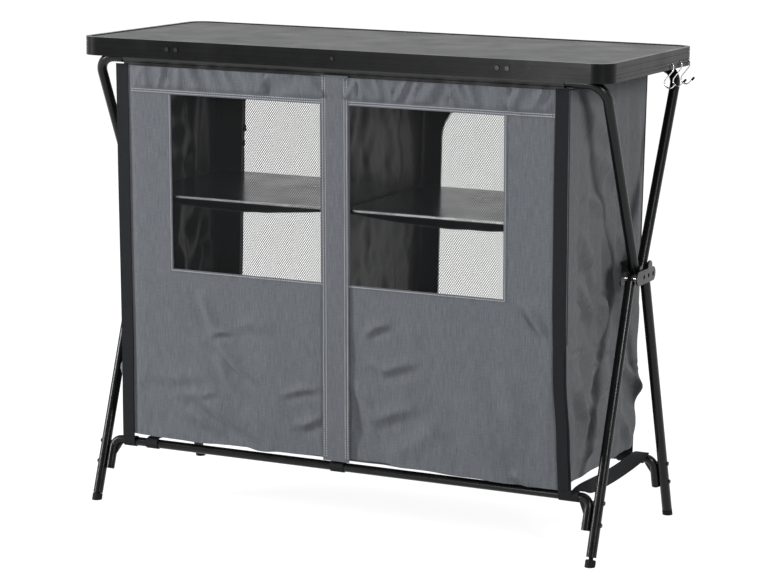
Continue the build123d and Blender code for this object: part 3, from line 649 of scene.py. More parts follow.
def new_object(
    name: str,
    vertices: Sequence[Vector],
    faces: Sequence[Sequence[int]],
    finishes: Sequence[Material],
    uv: Optional[Sequence[tuple[float, float]]] = None,
) -> bpy.types.Object:
    """Make a mesh object at the origin.

    Args:
        name: The piece's name.
        vertices: Its corners.
        faces: Its faces, as numbers of corners.
        finishes: Its materials, in slot order.
        uv: A UV place for each corner, in metres.

    Returns:
        The new object.
    """
    used = sorted({i for face in faces for i in face})
    number = {old: new for new, old in enumerate(used)}
    mesh = bpy.data.meshes.new(name)
    mesh.from_pydata([vertices[i] for i in used], [], [[number[i] for i in face] for face in faces])
    if uv is not None:
        layer = mesh.uv_layers.new(name="Cloth")
        for loop in mesh.loops:
            layer.data[loop.index].uv = uv[used[loop.vertex_index]]
    for finish in finishes:
        mesh.materials.append(Shop.get(finish))
    mesh.polygons.foreach_set("use_smooth", [True] * len(mesh.polygons))
    mesh.update()
    piece = bpy.data.objects.new(name, mesh)
    bpy.context.scene.collection.objects.link(piece)
    return piece


def cloth_grid(
    name: str,
    us: Sequence[float],
    vs: Sequence[float],
    place: Place,
    finishes: Sequence[Material],
    flip: bool = False,
    skip: Optional[Callable[[float, float], bool]] = None,
) -> bpy.types.Object:
    """Make a sheet from a grid of lines across and up the cloth.

    Args:
        name: The piece's name.
        us: Lines across the cloth.
        vs: Lines up the cloth.
        place: Where a point of the cloth is.
        finishes: Its outer and inner materials.
        flip: Whether the outer side faces the other way.
        skip: Says which cells are left open.

    Returns:
        The sheet, one face thick.
    """
    width = len(us)
    vertices = [place(u, v) for v in vs for u in us]
    uv = [(u, v) for v in vs for u in us]
    faces = []
    for row in range(len(vs) - 1):
        for column in range(width - 1):
            middle = ((us[column] + us[column + 1]) / 2, (vs[row] + vs[row + 1]) / 2)
            if skip is not None and skip(*middle):
                continue
            first = row * width + column
            corners = [first, first + 1, first + 1 + width, first + width]
            faces.append(corners[::-1] if flip else corners)
    return new_object(name, vertices, faces, finishes, uv)


def map_flat(piece: bpy.types.Object, flat: Callable[[Vector], tuple[float, float]]) -> None:
    """Give a cloth that doesn't hang in the front's plane its UV map, in metres.

    Args:
        piece: The object.
        flat: Turns a point of the piece into its place on the flat cloth.
    """
    layer = piece.data.uv_layers[0]
    for loop in piece.data.loops:
        layer.data[loop.index].uv = flat(piece.data.vertices[loop.vertex_index].co)


def thicken(piece: bpy.types.Object, thickness: float) -> bpy.types.Object:
    """Give a sheet its thickness behind its outer face; the inner side takes the last material.

    Args:
        piece: The sheet.
        thickness: How thick the cloth is.

    Returns:
        The same object.
    """
    modifier = piece.modifiers.new("Thickness", "SOLIDIFY")
    modifier.thickness = thickness
    modifier.offset = -1.0
    modifier.material_offset = len(piece.data.materials) - 1
    keep_only(piece)
    bpy.ops.object.modifier_apply(modifier=modifier.name)
    bpy.ops.object.shade_smooth_by_angle(angle=math.radians(50))
    return piece


def strip_along(
    name: str,
    path: Sequence[tuple[float, float]],
    x_low: float,
    x_high: float,
    finish: Material,
    thickness: float,
    columns: int = 6,
    wave: Callable[[float, float], float] = lambda across, along: 0.0,
) -> bpy.types.Object:
    """Make a strap that keeps its width in X and follows a path in Y and Z.

    Args:
        name: The piece's name.
        path: The strap's outer face as points in Y and Z; its outer side is on the left.
        x_low: One edge of the strap.
        x_high: The other edge.
        finish: Its material.
        thickness: How thick it is.
        columns: How many faces lie across it.
        wave: How far the outer face moves outwards at a place across and along.

    Returns:
        The strap.
    """
    lengths = [0.0]
    for (y0, z0), (y1, z1) in zip(path, path[1:]):
        lengths.append(lengths[-1] + math.hypot(y1 - y0, z1 - z0))
    sides = []
    for index in range(len(path)):
        before = path[max(0, index - 1)]
        after = path[min(len(path) - 1, index + 1)]
        run = Vector((after[0] - before[0], after[1] - before[1])).normalized()
        sides.append((-run.y, run.x))
    xs = [x_low + (x_high - x_low) * i / columns for i in range(columns + 1)]
    vertices = []
    uv = []
    for (y, z), side, along in zip(path, sides, lengths):
        for x in xs:
            out = wave(x, along)
            vertices.append(Vector((x, y + side[0] * out, z + side[1] * out)))
            uv.append((x, along))
    width = len(xs)
    faces = []
    for row in range(len(path) - 1):
        for column in range(columns):
            first = row * width + column
            faces.append([first, first + 1, first + 1 + width, first + width])
    return thicken(new_object(name, vertices, faces, [finish], uv), thickness)


def arc_points(
    centre: tuple[float, float], radius: float, start: float, turn: float, count: int
) -> list[tuple[float, float]]:
    """Return points on an arc in Y and Z; angles are in degrees from +Y towards +Z."""
    angles = [math.radians(start + turn * i / count) for i in range(count + 1)]
    return [(centre[0] + radius * math.cos(a), centre[1] + radius * math.sin(a)) for a in angles]


def pick_faces(piece: bpy.types.Object, wanted: Callable[[bpy.types.MeshPolygon], bool]) -> None:
    """Select the faces that a test accepts, and leave the object in edit mode.

    Args:
        piece: The object.
        wanted: Says whether a face is picked.
    """
    keep_only(piece)
    bpy.ops.object.mode_set(mode="EDIT")
    bpy.ops.mesh.select_mode(type="FACE")
    bpy.ops.mesh.select_all(action="DESELECT")
    bpy.ops.object.mode_set(mode="OBJECT")
    for face in piece.data.polygons:
        face.select = wanted(face)
    bpy.ops.object.mode_set(mode="EDIT")


def add_block(name: str, middle: Sequence[float], size: Sequence[float]) -> bpy.types.Object:
    """Add a block with its place and size in its mesh.

    Args:
        name: The piece's name.
        middle: The block's middle.
        size: The block's size.

    Returns:
        The block.
    """
    bpy.ops.object.select_all(action="DESELECT")
    bpy.ops.mesh.primitive_cube_add(size=1.0, location=middle, scale=size)
    piece = bpy.context.object
    piece.name = name
    bpy.ops.object.transform_apply(location=True, rotation=True, scale=True)
    return piece


@dataclass(frozen=True)
class Stitching:
    """A row of small raised shapes on a cloth's face: lock stitches or zip teeth.

    Real stitches here are 3 mm apart and 0.5 mm thick; they are drawn bolder to show.
    """

    pitch: float = 0.0046
    length: float = 0.0031
    width: float = 0.0013
    height: float = 0.0006
    finish: Material = Material.THREAD

    def model(self) -> tuple[list[Vector], list[list[int]]]:
        """Model one stitch: a block along X whose top is drawn in.

        Returns:
            Its corners and faces.
        """
        piece = add_block("stitch", (0, 0, self.height / 2), (self.length, self.width, self.height))
        pick_faces(piece, lambda face: face.normal.z > 0.9)
        bpy.ops.transform.resize(value=(0.5, 0.4, 1.0), center_override=(0, 0, self.height))
        bpy.ops.object.mode_set(mode="OBJECT")
        corners = [vertex.co.copy() for vertex in piece.data.vertices]
        faces = [list(face.vertices) for face in piece.data.polygons]
        bpy.data.objects.remove(piece)
        return corners, faces

    def rows(
        self,
        name: str,
        place: Place,
        rows: Sequence[tuple[tuple[float, float], tuple[float, float]]],
        out: Vector,
    ) -> bpy.types.Object:
        """Sew straight rows on a cloth.

        Args:
            name: The piece's name.
            place: Where a point of the cloth is.
            rows: Each row's two ends on the cloth.
            out: The cloth's outward direction.

        Returns:
            All the rows as one object.
        """
        shape, sides = self.model()
        vertices: list[Vector] = []
        faces: list[list[int]] = []
        for start, end in rows:
            count = max(1, int(math.dist(start, end) / self.pitch))
            for index in range(count):
                here, ahead = (
                    place(start[0] + (end[0] - start[0]) * share, start[1] + (end[1] - start[1]) * share)
                    for share in ((index + 0.5) / count, (index + 1) / count)
                )
                along = (ahead - here).normalized()
                across = out.cross(along).normalized()
                turn = Matrix((along, across, along.cross(across))).transposed()
                base = len(vertices)
                vertices += [here + out * 0.0001 + turn @ corner for corner in shape]
                faces += [[base + i for i in face] for face in sides]
        return new_object(name, vertices, faces, [self.finish])


class Part:
    """One sub-assembly: it builds its pieces and reports each."""

    body = "cabinet"

    def soft(
        self,
        piece: bpy.types.Object,
        slot: str,
        nodes: Sequence[str] = (),
        keep: float = 0.25,
        anchor_y: float = 0.0,
        shift: float = SIZES.shift,
    ) -> bpy.types.Object:
        """Put a cloth piece on the cabinet: move it along X, hang it on the cabinet's body and hide the plain
        solids it stands for.

        Args:
            piece: The cloth.
            slot: Not used.
            nodes: The plain solids it stands for.
            keep: Not used.
            anchor_y: Not used.
            shift: How far along X the cabinet hangs from the place it was drawn at.

        Returns:
            The same object.
        """
        piece.data.transform(Matrix.Translation((shift, 0, 0)))
        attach(piece, self.body)
        if nodes:
            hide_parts(*nodes)
        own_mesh(piece)
        LOG.info("built %s", piece.name)
        return piece


# The sub-assemblies


@dataclass
class FrontWall(Part):
    """The front of the cabinet: two panels with net windows, top bands and a middle band.

    Creases are traced in the frame's X; the cloth's own u is measured from the divider.
    """

    cloth: float = 0.0011
    step: float = 0.0036
    hem: float = 0.006
    band_half: float = 0.026
    band_lift: float = 0.0034
    tucked: float = 0.0018
    crease_depth: float = 1.7
    net_pitch: tuple[float, float] = (0.0042, 0.0058)
    yarns: tuple[float, float] = (0.0011, 0.0007)
    net_fill: float = 0.6

    left_creases = (
        Crease(((-0.283, 0.412), (-0.265, 0.370), (-0.248, 0.334)), 0.009, 0.0040),
        Crease(((-0.260, 0.327), (-0.207, 0.278), (-0.165, 0.250)), 0.007, 0.0050),
        Crease(((-0.266, 0.329), (-0.239, 0.337), (-0.212, 0.336)), 0.005, 0.0032),
        Crease(
            ((-0.342, 0.221), (-0.293, 0.215), (-0.256, 0.197), (-0.208, 0.169), (-0.166, 0.146)),
            0.009,
            0.0055,
        ),
        Crease(((-0.305, 0.226), (-0.274, 0.219), (-0.244, 0.225)), 0.006, 0.0028),
        Crease(((-0.123, 0.232), (-0.076, 0.248), (-0.032, 0.254)), 0.006, 0.0032),
        Crease(((-0.094, 0.187), (-0.071, 0.184), (-0.035, 0.203)), 0.007, 0.0034),
        Crease(((-0.311, 0.191), (-0.269, 0.168), (-0.233, 0.147)), 0.009, 0.0040),
        Crease(((-0.248, 0.301), (-0.231, 0.254), (-0.195, 0.219)), 0.008, 0.0028),
        Crease(((-0.415, 0.252), (-0.341, 0.243), (-0.267, 0.253)), 0.012, 0.0026),
        Crease(((-0.218, 0.348), (-0.176, 0.357), (-0.134, 0.347)), 0.008, 0.0018),
    )
    right_creases = (
        Crease(((0.047, 0.356), (0.070, 0.374), (0.101, 0.383)), 0.006, 0.0040),
        Crease(((0.058, 0.315), (0.087, 0.299), (0.121, 0.311), (0.155, 0.319)), 0.008, 0.0040),
        Crease(((0.058, 0.203), (0.104, 0.224), (0.149, 0.240)), 0.009, 0.0036),
        Crease(((0.166, 0.347), (0.222, 0.269), (0.278, 0.206), (0.334, 0.160)), 0.022, 0.0055),
        Crease(((0.347, 0.446), (0.375, 0.413), (0.399, 0.380)), 0.006, 0.0055),
        Crease(((0.328, 0.149), (0.350, 0.139), (0.372, 0.123)), 0.006, 0.0045),
        Crease(((0.029, 0.280), (0.052, 0.235), (0.069, 0.162)), 0.012, 0.0028),
        Crease(((0.200, 0.219), (0.143, 0.170), (0.086, 0.142)), 0.014, 0.0026),
        Crease(((0.310, 0.325), (0.327, 0.264), (0.355, 0.205)), 0.014, 0.0028),
        Crease(((0.121, 0.405), (0.149, 0.350), (0.177, 0.311)), 0.014, 0.0026),
        Crease(((0.315, 0.800), (0.335, 0.775), (0.350, 0.755)), 0.007, 0.0026),
    )
    # The lower edge hangs between the loops: it sags at the corners and rides up near the middle.
    lower_edge = (
        (-0.43, 0.127),
        (-0.375, 0.126),
        (-0.30, 0.125),
        (-0.19, 0.127),
        (-0.16, 0.1225),
        (-0.12, 0.1255),
        (-0.03, 0.126),
        (0.03, 0.1245),
        (0.14, 0.1245),
        (0.26, 0.122),
        (0.34, 0.120),
        (0.43, 0.119),
    )

    def relief(self, u: float, v: float) -> float:
        """Return how far the panel stands out from its plane: long ripples, low slack and creases.

        Args:
            u: Distance across the cloth.
            v: Height.

        Returns:
            The distance outwards.
        """
        x = u + SIZES.shift
        slack = 1 - smooth_step(v, 0.16, 0.50)
        lift = 0.0009 * ripple(x, v, 0.045, 0.40, 3.1)
        lift += 0.0058 * slack * ripple(x, v, 0.11, 0.16, 7.7)
        lift += 0.0034 * slack * ripple(x + 0.6 * v, v, 0.045, 0.12, 1.9)
        lift += 0.0010 * slack * ripple(x, v, 0.014, 0.03, 2.6)
        creases = self.left_creases if x < 0 else self.right_creases
        lift += self.crease_depth * sum(crease.lift(x, v) for crease in creases)
        middle = smooth_step(abs(u), 0.0, 0.03)
        corner = 1 - smooth_step(abs(u), SIZES.strap_inner - 0.022, SIZES.strap_inner - 0.002)
        return lift * (0.3 + 0.7 * middle) * corner

    def place(self, u: float, v: float) -> Vector:
        """Return where a point of the front cloth is; its outer strip is tucked under the strap.

        Args:
            u: Distance across the cloth.
            v: Height.

        Returns:
            The point.
        """
        share = (v - SIZES.low_z) / (SIZES.window_low - SIZES.low_z)
        drop = along_points(u + SIZES.shift, self.lower_edge) - SIZES.low_z
        z = v if share > 1 else v + drop * (1 - max(share, 0.0)) ** 2
        tuck = self.tucked * smooth_step(abs(u), SIZES.strap_inner - 0.006, SIZES.strap_inner)
        return Vector((u, -SIZES.wall_y(z) - self.relief(u, v) + tuck, z))

    def panel(self, side_name: str) -> None:
        """Build one panel with its window hole.

        Args:
            side_name: Which side it is on, left or right.
        """
        side = SIDE_NAMES[side_name]
        left, right = SIZES.window(side_name)
        outer = SIZES.half_width - 0.0015
        ends = sorted((side * 0.0006, side * outer))
        us = lines_between(ends[0], ends[1], self.step, (left, right))
        vs = lines_between(SIZES.low_z, SIZES.high_z, self.step, (SIZES.window_low, SIZES.window_high))

        def open_cell(u: float, v: float) -> bool:
            """Say whether a cell is in the window."""
            return left < u < right and SIZES.window_low < v < SIZES.window_high

        piece = cloth_grid(
            f"front_cloth_{side_name}", us, vs, self.place, [Material.CLOTH, Material.LINING], skip=open_cell
        )
        thicken(piece, self.cloth)
        self.soft(piece, "cloth_grey", [f"front_panel_{side_name}"])

    def window_hem(self, side_name: str) -> None:
        """Build the turned edge round a window, a second layer of the same cloth.

        Args:
            side_name: Which side it is on, left or right.
        """
        left, right = SIZES.window(side_name)
        low, high = SIZES.window_low, SIZES.window_high
        us = lines_between(left - self.hem, right + self.hem, self.step, (left, right))
        vs = lines_between(low - self.hem, high + self.hem, self.step, (low, high))

        def inside_window(u: float, v: float) -> bool:
            """Say whether a cell is in the window."""
            return left < u < right and low < v < high

        def raised(u: float, v: float) -> Vector:
            """Return a point a little outside the cloth below."""
            return self.place(u, v) + Vector((0, -0.0007, 0))

        piece = cloth_grid(f"window_hem_{side_name}", us, vs, raised, [Material.CLOTH], skip=inside_window)
        thicken(piece, 0.0006)
        self.soft(piece, "cloth_grey")
        half = self.hem / 2
        rows = [
            ((left - half, low - half), (right + half, low - half)),
            ((left - half, low - half), (left - half, high + half)),
            ((right + half, low - half), (right + half, high + half)),
        ]
        sewn = Stitching().rows(f"window_stitches_{side_name}", raised, rows, FORWARD)
        self.soft(sewn, "cloth_grey")

    def top_band(self, side_name: str) -> None:
        """Build the band above a window, puckered along its two rows of stitches.

        Args:
            side_name: Which side it is on, left or right.
        """
        side = SIDE_NAMES[side_name]
        ends = sorted((side * 0.020, side * SIZES.strap_inner))
        low = SIZES.window_high + 0.0005
        us = lines_between(ends[0], ends[1], self.step)
        vs = lines_between(low, SIZES.high_z, self.step)

        def raised(u: float, v: float) -> Vector:
            """Return a point a little outside the cloth below."""
            gathered = smooth_step(v, low + 0.006, low + 0.016)
            slant = u + 0.5 * v * math.copysign(1.0, ripple(u, 0.0, 0.11, 1.0, 6.1))
            pucker = 0.0105 * gathered * (0.75 - 1.6 * abs(ripple(slant, v, 0.030, 0.09, 9.3)))
            pucker += 0.0010 * ripple(u, v, 0.04, 0.05, 8.3)
            free = 1 - smooth_step(abs(u), SIZES.strap_inner - 0.025, SIZES.strap_inner)
            return self.place(u, v) + Vector((0, -0.0014 - max(-0.0004, pucker * free), 0))

        piece = cloth_grid(f"top_band_{side_name}", us, vs, raised, [Material.CLOTH])
        thicken(piece, 0.0007)
        self.soft(piece, "cloth_grey")
        rows = [((ends[0], low + d), (ends[1], low + d)) for d in (0.0025, 0.0065)]
        sewn = Stitching().rows(f"top_band_stitches_{side_name}", raised, rows, FORWARD)
        self.soft(sewn, "cloth_grey")

    def net(self, side_name: str) -> None:
        """Build a window's net from two families of yarns that cross at a slant.

        The real mesh is finer than a pixel; it is drawn at the pitch that the picture shows.
        """
        margin = 0.003
        left, right = SIZES.window(side_name)
        left, right = left - margin, right + margin
        low, high = SIZES.window_low - margin, SIZES.window_high + margin
        slope = self.net_pitch[1] / self.net_pitch[0]
        vertices: list[Vector] = []
        faces: list[list[int]] = []
        for family, yarn in zip((1, -1), self.yarns):
            reach = (high - low) / slope
            first = left - (reach if family > 0 else 0.0)
            last = right + (0.0 if family > 0 else reach)
            for index in range(int((last - first) / self.net_pitch[0]) + 1):
                foot_x = first + index * self.net_pitch[0]
                ends = []
                for x_edge in (left, right):
                    z = low + family * slope * (x_edge - foot_x)
                    if low <= z <= high:
                        ends.append((x_edge, z))
                for z_edge in (low, high):
                    x = foot_x + family * (z_edge - low) / slope
                    if left < x < right:
                        ends.append((x, z_edge))
                if len(ends) == 2 and math.dist(*ends) > 2 * yarn:
                    self.add_yarn(vertices, faces, ends, yarn, family * 0.00025)
        piece = new_object(f"window_mesh_{side_name}", vertices, faces, [Material.NET])
        self.soft(piece, "net_black", [f"window_net_{side_name}"])

    def add_yarn(
        self,
        vertices: list[Vector],
        faces: list[list[int]],
        ends: Sequence[tuple[float, float]],
        yarn: float,
        depth: float,
    ) -> None:
        """Add one yarn, a thin four-sided bar with short steps, to a mesh in the making.

        Args:
            vertices: The mesh's corners so far.
            faces: The mesh's faces so far.
            ends: The yarn's two ends in X and Z.
            yarn: How wide it is.
            depth: How far it lies outside the net's middle.
        """
        (x0, z0), (x1, z1) = ends
        run = Vector((x1 - x0, 0, z1 - z0))
        across = Vector((run.z, 0, -run.x)).normalized() * (yarn / 2)
        out = Vector((0, -0.00018, 0))
        count = max(1, round(run.length / 0.05))
        base = len(vertices)
        for index in range(count + 1):
            x = x0 + (x1 - x0) * index / count
            z = z0 + (z1 - z0) * index / count
            middle = Vector((x, -SIZES.wall_y(z) + 0.0006 - depth, z))
            vertices += [middle - across, middle + out, middle + across, middle - out]
        for index in range(count):
            here = base + 4 * index
            for corner in range(4):
                after = (corner + 1) % 4
                faces.append([here + corner, here + after, here + 4 + after, here + 4 + corner])
        faces.append([base, base + 3, base + 2, base + 1])
        last = base + 4 * count
        faces.append([last, last + 1, last + 2, last + 3])

    def middle_band(self) -> None:
        """Build the band over the middle seam, with two rows of stitches along each edge."""
        low = SIZES.low_z - 0.006
        us = lines_between(-self.band_half, self.band_half, self.step)
        vs = lines_between(low, SIZES.high_z + 0.003, self.step)

        def raised(u: float, v: float) -> Vector:
            """Return a point a little outside the cloth below."""
            slack = 1 - smooth_step(v, 0.25, 0.50)
            bow = 0.0012 * ripple(u, v, 0.03, 0.09, 4.4) * slack + 0.0004 * ripple(u, v, 0.012, 0.2, 4.9)
            bow += 0.35 * max(0.0, self.relief(u, v)) * slack
            return Vector((u, -SIZES.wall_y(v) - self.band_lift - bow, v))

        piece = cloth_grid("middle_band", us, vs, raised, [Material.CLOTH])
        thicken(piece, 0.0008)
        self.soft(piece, "cloth_grey", ["seam_band"])
        edges = [s * (self.band_half - d) for s in (-1, 1) for d in (0.0025, 0.0075)]
        rows = [((u, SIZES.low_z), (u, SIZES.high_z)) for u in edges]
        sewn = Stitching().rows("middle_band_stitches", raised, rows, FORWARD)
        self.soft(sewn, "cloth_grey")

    def build(self) -> None:
        """Build the whole front."""
        for side_name in SIDE_NAMES:
            self.panel(side_name)
            self.window_hem(side_name)
            self.top_band(side_name)
            self.net(side_name)
        self.middle_band()


@dataclass
class SideWall(Part):
    """One end of the cabinet: a slack panel whose folds hang above and below two gathered lines.

    Places on it are given as Y and Z. The creases are those of the right end, and the left end,
    which the picture doesn't show, has them turned about.
    """

    side_name: str
    seed: float
    cloth: float = 0.0011
    step: float = 0.0036
    deepest: float = 0.0108
    crease_depth: float = 2.8
    piping_low: float = 0.375
    flat: tuple[float, float] = (0.400, 0.690)

    creases = (
        Crease(((-0.136, 0.576), (-0.118, 0.522), (-0.085, 0.480), (-0.069, 0.452)), 0.009, 0.0050),
        Crease(((-0.031, 0.556), (-0.012, 0.504), (-0.004, 0.451), (0.011, 0.398)), 0.009, 0.0062),
        Crease(((-0.141, 0.493), (-0.120, 0.447), (-0.094, 0.393), (-0.085, 0.367)), 0.007, 0.0048),
        Crease(((-0.012, 0.457), (-0.040, 0.423), (-0.040, 0.359)), 0.006, 0.0060),
        Crease(((-0.128, 0.453), (-0.141, 0.434), (-0.147, 0.408)), 0.007, 0.0030),
        Crease(((-0.149, 0.338), (-0.139, 0.292), (-0.106, 0.236), (-0.107, 0.197)), 0.009, 0.0062),
        Crease(((0.013, 0.319), (-0.012, 0.290), (-0.055, 0.256), (-0.038, 0.225)), 0.010, 0.0055),
        Crease(((-0.086, 0.271), (-0.061, 0.238), (-0.066, 0.188), (-0.101, 0.154)), 0.009, 0.0055),
        Crease(((0.089, 0.297), (0.141, 0.253), (0.178, 0.205)), 0.009, 0.0060),
        Crease(((0.072, 0.211), (0.133, 0.147), (0.144, 0.119)), 0.009, 0.0048),
        Crease(((-0.088, 0.626), (-0.064, 0.604), (-0.055, 0.579)), 0.010, 0.0036),
        Crease(((0.047, 0.546), (0.074, 0.495), (0.094, 0.441)), 0.010, 0.0050),
        Crease(((0.039, 0.438), (0.067, 0.389), (0.087, 0.329)), 0.010, 0.0050),
        Crease(((-0.068, 0.339), (-0.044, 0.318), (-0.066, 0.300)), 0.007, 0.0038),
        Crease(((-0.150, 0.800), (-0.060, 0.735), (0.040, 0.690)), 0.022, 0.0060),
        Crease(((-0.120, 0.720), (-0.030, 0.668), (0.070, 0.640)), 0.018, 0.0050),
    )
    gathers = (
        (-0.208, 0.582),
        (-0.143, 0.578),
        (-0.055, 0.579),
        (-0.009, 0.567),
        (0.055, 0.545),
        (0.144, 0.519),
    )
    lower_gathers = (
        (-0.194, 0.360),
        (-0.144, 0.358),
        (-0.084, 0.356),
        (-0.039, 0.354),
        (0.024, 0.328),
        (0.073, 0.308),
        (0.138, 0.288),
        (0.172, 0.276),
    )

    def folds(self, y: float, v: float) -> float:
        """Return how far the broad folds stand out, from 0 to about 1.

        Args:
            y: Distance from the middle plane.
            v: Height.

        Returns:
            The height of the folds, as a share.
        """
        upper = smooth_step(v, 0.33, 0.38)
        bend = 0.018 * ripple(y, v, 0.09, 0.22, self.seed)
        total = 0.0
        for weight, phase, size in ((upper, 0.0, 0.062), (1 - upper, 2.3, 0.074)):
            across = (y + bend + phase * 0.01) / size
            sway = 0.35 * ripple(y, v, 0.12, 0.5, self.seed + 2)
            total += weight * (0.5 + 0.5 * math.sin(2 * math.pi * (across + sway)))
        return total

    def gathered(self, y: float, v: float) -> float:
        """Return the small hard puckers along the two gathered lines.

        Args:
            y: Distance from the middle plane.
            v: Height.

        Returns:
            The distance outwards.
        """
        lift = 0.0
        for line, depth in ((self.gathers, 0.0012), (self.lower_gathers, 0.0044)):
            off = v - along_points(y, line)
            seam = math.exp(-((off / 0.0035) ** 2))
            near = math.exp(-((off / 0.015) ** 2))
            lift += depth * (near * abs(ripple(y, v, 0.011, 0.024, self.seed + 11)) * 1.6 - 0.55 * seam)
        return lift

    def relief(self, y: float, v: float) -> float:
        """Return how far the panel stands out of its plane.

        Args:
            y: Distance from the middle plane.
            v: Height.

        Returns:
            The distance outwards.
        """
        side = SIDE_NAMES[self.side_name]
        top = 1 - smooth_step(v, 0.62, 0.80) * 0.7
        foot = 0.25 + 0.75 * smooth_step(v, SIZES.low_z, SIZES.low_z + 0.05)
        free = 1 - smooth_step(abs(y), 0.145, SIZES.wall_y(v) - 0.002)
        lift = self.deepest * top * (0.15 + 0.85 * free) * self.folds(y, v) + 0.001
        lift += self.crease_depth * free * sum(crease.lift(side * y, v) for crease in self.creases)
        lift += 0.0022 * free * ripple(y, v, 0.03, 0.05, self.seed + 9)
        lift += 0.0006 * ripple(y, v, 0.010, 0.018, self.seed + 13)
        lift += (0.3 + 0.7 * free) * self.gathered(side * y, v)
        return max(0.0003, lift * foot * (0.12 + 0.88 * smooth_step(SIZES.wall_y(v) - abs(y), 0.0, 0.02)))

    def place(self, u: float, v: float) -> Vector:
        """Return where a point of the panel is.

        Args:
            u: Place between the corners, from -1 to 1.
            v: Height.

        Returns:
            The point.
        """
        side = SIDE_NAMES[self.side_name]
        y = u * (SIZES.wall_y(v) - 0.0002)
        return Vector((side * (SIZES.half_width + self.relief(y, v)), y, v))

    def piping(self, end_name: str) -> None:
        """Build the narrow black piping sewn into a corner's seam, which ends where the strap is free.

        Args:
            end_name: Which wall it is on, front or back.
        """
        side, end = SIDE_NAMES[self.side_name], END_NAMES[end_name]
        count = 10
        us = [i / count for i in range(count + 1)]
        vs = lines_between(self.piping_low, SIZES.high_z, 0.012)

        def round_cord(u: float, v: float) -> Vector:
            """Return a point of the cord's skin."""
            angle = 2 * math.pi * u
            x = SIZES.half_width + 0.0008 + 0.0011 * math.cos(angle)
            y = SIZES.wall_y(v) - 0.0022 + 0.0011 * math.sin(angle)
            return Vector((side * x, end * y, v))

        piece = cloth_grid(
            f"piping_{end_name}_{self.side_name}", us, vs, round_cord, [Material.LINING], flip=side * end < 0
        )
        self.soft(piece, "cloth_black")

    def build(self) -> None:
        """Build the panel and the piping at its corners."""
        count = round(0.37 / self.step)
        us = [-1 + 2 * i / count for i in range(count + 1)]
        vs = lines_between(SIZES.low_z, SIZES.high_z, self.step)
        flip = SIDE_NAMES[self.side_name] < 0
        faces = [Material.SIDE_CLOTH, Material.LINING]
        piece = cloth_grid(f"side_cloth_{self.side_name}", us, vs, self.place, faces, flip=flip)
        map_flat(piece, lambda point: (point.y, point.z))
        thicken(piece, self.cloth)
        self.soft(piece, "cloth_grey", [f"side_panel_{self.side_name}"])
        for end_name in END_NAMES:
            self.piping(end_name)


